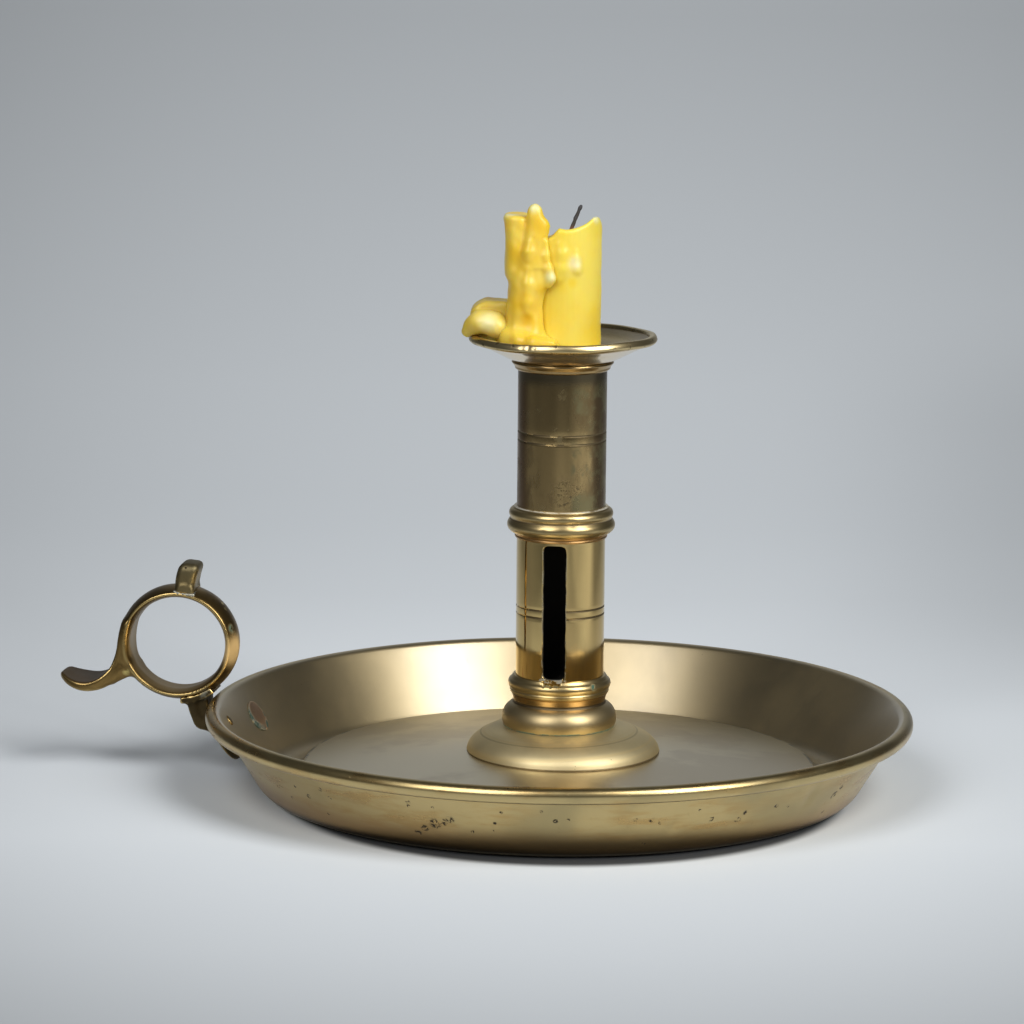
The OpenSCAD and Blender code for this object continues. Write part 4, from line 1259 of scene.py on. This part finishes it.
def wick_field(gx, gy, z):
    x, y = turned_frame(gx, gy)
    body = run(x, y, z, [(0.7, 0, 148.0, 0.6), (0.9, 0, 150.0, 0.55), (1.8, -0.05, 152.6, 0.5), (3.0, -0.1, 155.8, 0.48),
                         (4.2, 0, 158.6, 0.46), (4.45, 0.05, 159.1, 0.36)], 0.3)
    twist = np.arctan2(y, x - 0.9 - np.clip(z - 150.0, 0, 20) * 0.36)
    return body + 0.04 * np.sin(2 * twist + z * 2.6)


def make_wax():
    sculpt("candle_stub_wax", candle_field, (-12, -12, 79.6), (12, 12, 158.5), 0.42, candle_wax, "candle_stub",
           ["candle"], 5)
    sculpt("gutter_wax", gutter_field, (-19.5, -19.5, 118.5), (4.0, 12.0, 162.0), 0.3, gutter_wax, "candle_stub",
           ["wax_gutter"], 5)
    sculpt("spill_wax", spill_field, (-29.0, -13.5, 119.5), (-11.5, 9.0, 135.5), 0.3, spill_wax, "candle_stub",
           ["wax_spill"], 5)
    sculpt("burnt_wick", wick_field, (-0.8, -1.9, 146.0), (6.0, 2.0, 160.2), 0.14, wick_char, "candle_stub",
           ["wick"])


for part in frame["record"]["subparts"]:
    node = NODES[part["node"]]
    for slot in node.material_slots:
        slot.material = BY_SLOT[part["material_slot"]]


# ---------------------------------------------------------------- stage, light and camera

PAPER_BACK = 1.2
# Painted light on the paper: (place along floor and backdrop, brightness)
PAINTED_PAPER_LIGHT = [(-0.25, 0.475), (-0.17, 0.645), (-0.06, 0.845), (0.09, 0.86), (0.17, 0.835), (0.27, 0.795), (0.40, 0.80),
                (0.62, 0.735), (0.83, 0.64), (1.05, 0.535)]
# Centre and radius of the painted contact shadow round the pan's foot
PAINTED_CONTACT_SHADOW = (0.001, -0.012, 0.0735)


def paper_material():
    """Pale paper with painted light: brightest round the object, greyer up the back, in front and to the sides, a
    little darker to the right, with a painted contact shadow round the pan's foot.
    """
    t = Tree("paper")
    x, y = t.axis("X"), t.axis("Y")
    along_it = t.math("ADD", y, t.axis("Z"))
    low, high = PAINTED_PAPER_LIGHT[0][0], PAINTED_PAPER_LIGHT[-1][0]
    ramp = t.add("ShaderNodeValToRGB")
    stops = ramp.color_ramp.elements
    for i, (place, value) in enumerate(PAINTED_PAPER_LIGHT):
        spot = (place - low) / (high - low)
        stop = stops[min(i, 1)] if i in (0, len(PAINTED_PAPER_LIGHT) - 1) else stops.new(spot)
        if i == len(PAINTED_PAPER_LIGHT) - 1:
            stop = stops[-1]
        stop.position = spot
        stop.color = (value, value, value, 1)
    t.put(ramp.inputs[0], t.math("DIVIDE", t.math("SUBTRACT", along_it, low), high - low))
    # Painted shade: darker towards the sides, though not at the front right
    aside = t.math("DIVIDE", t.math("ADD", x, 0.006), t.math("ADD", y, PAPER_BACK))
    fall = t.math("SUBTRACT", 1.0, t.math("MULTIPLY", t.math("MULTIPLY", aside, aside), 11.5))
    fall = t.math("MAXIMUM", fall, 0.35)
    front_right = t.both(t.span(x, 0.13, 0.22), t.span(y, 0.06, -0.08, 0.0, 1.0))
    fall = t.blend(front_right, fall, 1.0)
    # Painted shade: a little darker to the right, part way back
    right = t.both(t.span(aside, 0.05, 0.12), t.band(along_it, 250.0, 560.0, 180.0))
    fall = t.both(fall, t.blend(right, 1.0, 0.87))
    # Painted contact shadow round the pan's foot
    from_shadow_centre = t.vector("DISTANCE", t.place, (PAINTED_CONTACT_SHADOW[0], PAINTED_CONTACT_SHADOW[1], 0.0))
    fall = t.both(fall, t.span(from_shadow_centre, PAINTED_CONTACT_SHADOW[2] - 0.001, PAINTED_CONTACT_SHADOW[2] + 0.004, 0.10, 1.0))
    shade = t.vector("MULTIPLY", t.vector("MULTIPLY", ramp.outputs[0], (0.94, 1.0, 1.06)), t.spread(fall))
    return t.finish(shade, 0.9, 0.0, Specular_IOR_Level=0.1)


def sweep_of_paper():
    """Floor and backdrop in one piece, with a wide bend between them."""
    half, front, back, bend, top = 0.85, -0.58, 1.3, 0.9, 2.6
    line = [(front, 0.0), (-0.3, 0.0), (0.0, 0.0)]
    for i in range(25):
        a = math.radians(90 * i / 24)
        line.append((back - bend + bend * math.sin(a), bend - bend * math.cos(a)))
    line.append((back, top))
    cols = 12
    verts = [(-half + 2 * half * c / cols, y, z) for y, z in line for c in range(cols + 1)]
    faces = [(r * (cols + 1) + c, r * (cols + 1) + c + 1, (r + 1) * (cols + 1) + c + 1, (r + 1) * (cols + 1) + c)
             for r in range(len(line) - 1) for c in range(cols)]
    mesh = bpy.data.meshes.new("paper")
    mesh.from_pydata(verts, [], faces)
    mesh.polygons.foreach_set("use_smooth", [True] * len(faces))
    paper = bpy.data.objects.new("paper", mesh)
    bpy.context.scene.collection.objects.link(paper)
    paper.rotation_euler = (0, 0, math.radians(CAMERA_TURN))
    mesh.materials.append(paper_material())


CAMERA_TURN = 8.635
CAMERA_AT = (0.1667, -1.1863, 0.2876)
CAMERA_PITCH = 10.02
CAMERA_ROLL = 0.5
LENS = 158.2


def camera():
    data = bpy.data.cameras.new("camera")
    data.lens = LENS
    data.sensor_width = 36.0
    data.clip_start = 0.01
    data.clip_end = 20.0
    cam = bpy.data.objects.new("camera", data)
    cam.matrix_world = (Matrix.Translation(CAMERA_AT)
                        @ Matrix.Rotation(math.radians(CAMERA_TURN), 4, "Z")
                        @ Matrix.Rotation(math.radians(90 - CAMERA_PITCH), 4, "X")
                        @ Matrix.Rotation(math.radians(CAMERA_ROLL), 4, "Z"))
    bpy.context.scene.collection.objects.link(cam)
    bpy.context.scene.camera = cam


def soft_box(name, azimuth, elevation, away, width, height, glow, tone):
    """A soft box aimed at the stem. Azimuth is from the camera's side, positive to the right."""
    a = math.radians(azimuth + 8.0)
    e = math.radians(elevation)
    at = Vector((math.sin(a) * math.cos(e), -math.cos(a) * math.cos(e), math.sin(e))) * away
    at += Vector((0, 0, 0.04))
    data = bpy.data.lights.new(name, "AREA")
    data.shape = "RECTANGLE"
    data.size = width
    data.size_y = height
    data.energy = glow * math.pi * width * height
    data.color = tone
    box = bpy.data.objects.new(name, data)
    box.location = at
    box.rotation_euler = (Vector((0, 0, 0.04)) - at).to_track_quat("-Z", "Y").to_euler()
    bpy.context.scene.collection.objects.link(box)


def world():
    w = bpy.data.worlds.new("world")
    w.use_nodes = True
    w.node_tree.nodes["Background"].inputs[0].default_value = (0.62, 0.66, 0.70, 1)
    w.node_tree.nodes["Background"].inputs[1].default_value = 0.08
    bpy.context.scene.world = w


make_pan()
make_boss()
make_base_collar()
make_tube()
make_mid_collar()
make_neck_ring()
make_drip_pan()
make_handle()
make_wax()
sweep_of_paper()
camera()
soft_box("right_box", 47.5, 38, 1.95, 0.98, 1.43, 8.2, (1.0, 0.99, 0.97))
soft_box("left_box", -32.5, 38, 1.95, 0.92, 1.43, 4.8, (1.0, 0.99, 0.98))
world()
bpy.context.scene.view_settings.view_transform = "Standard"
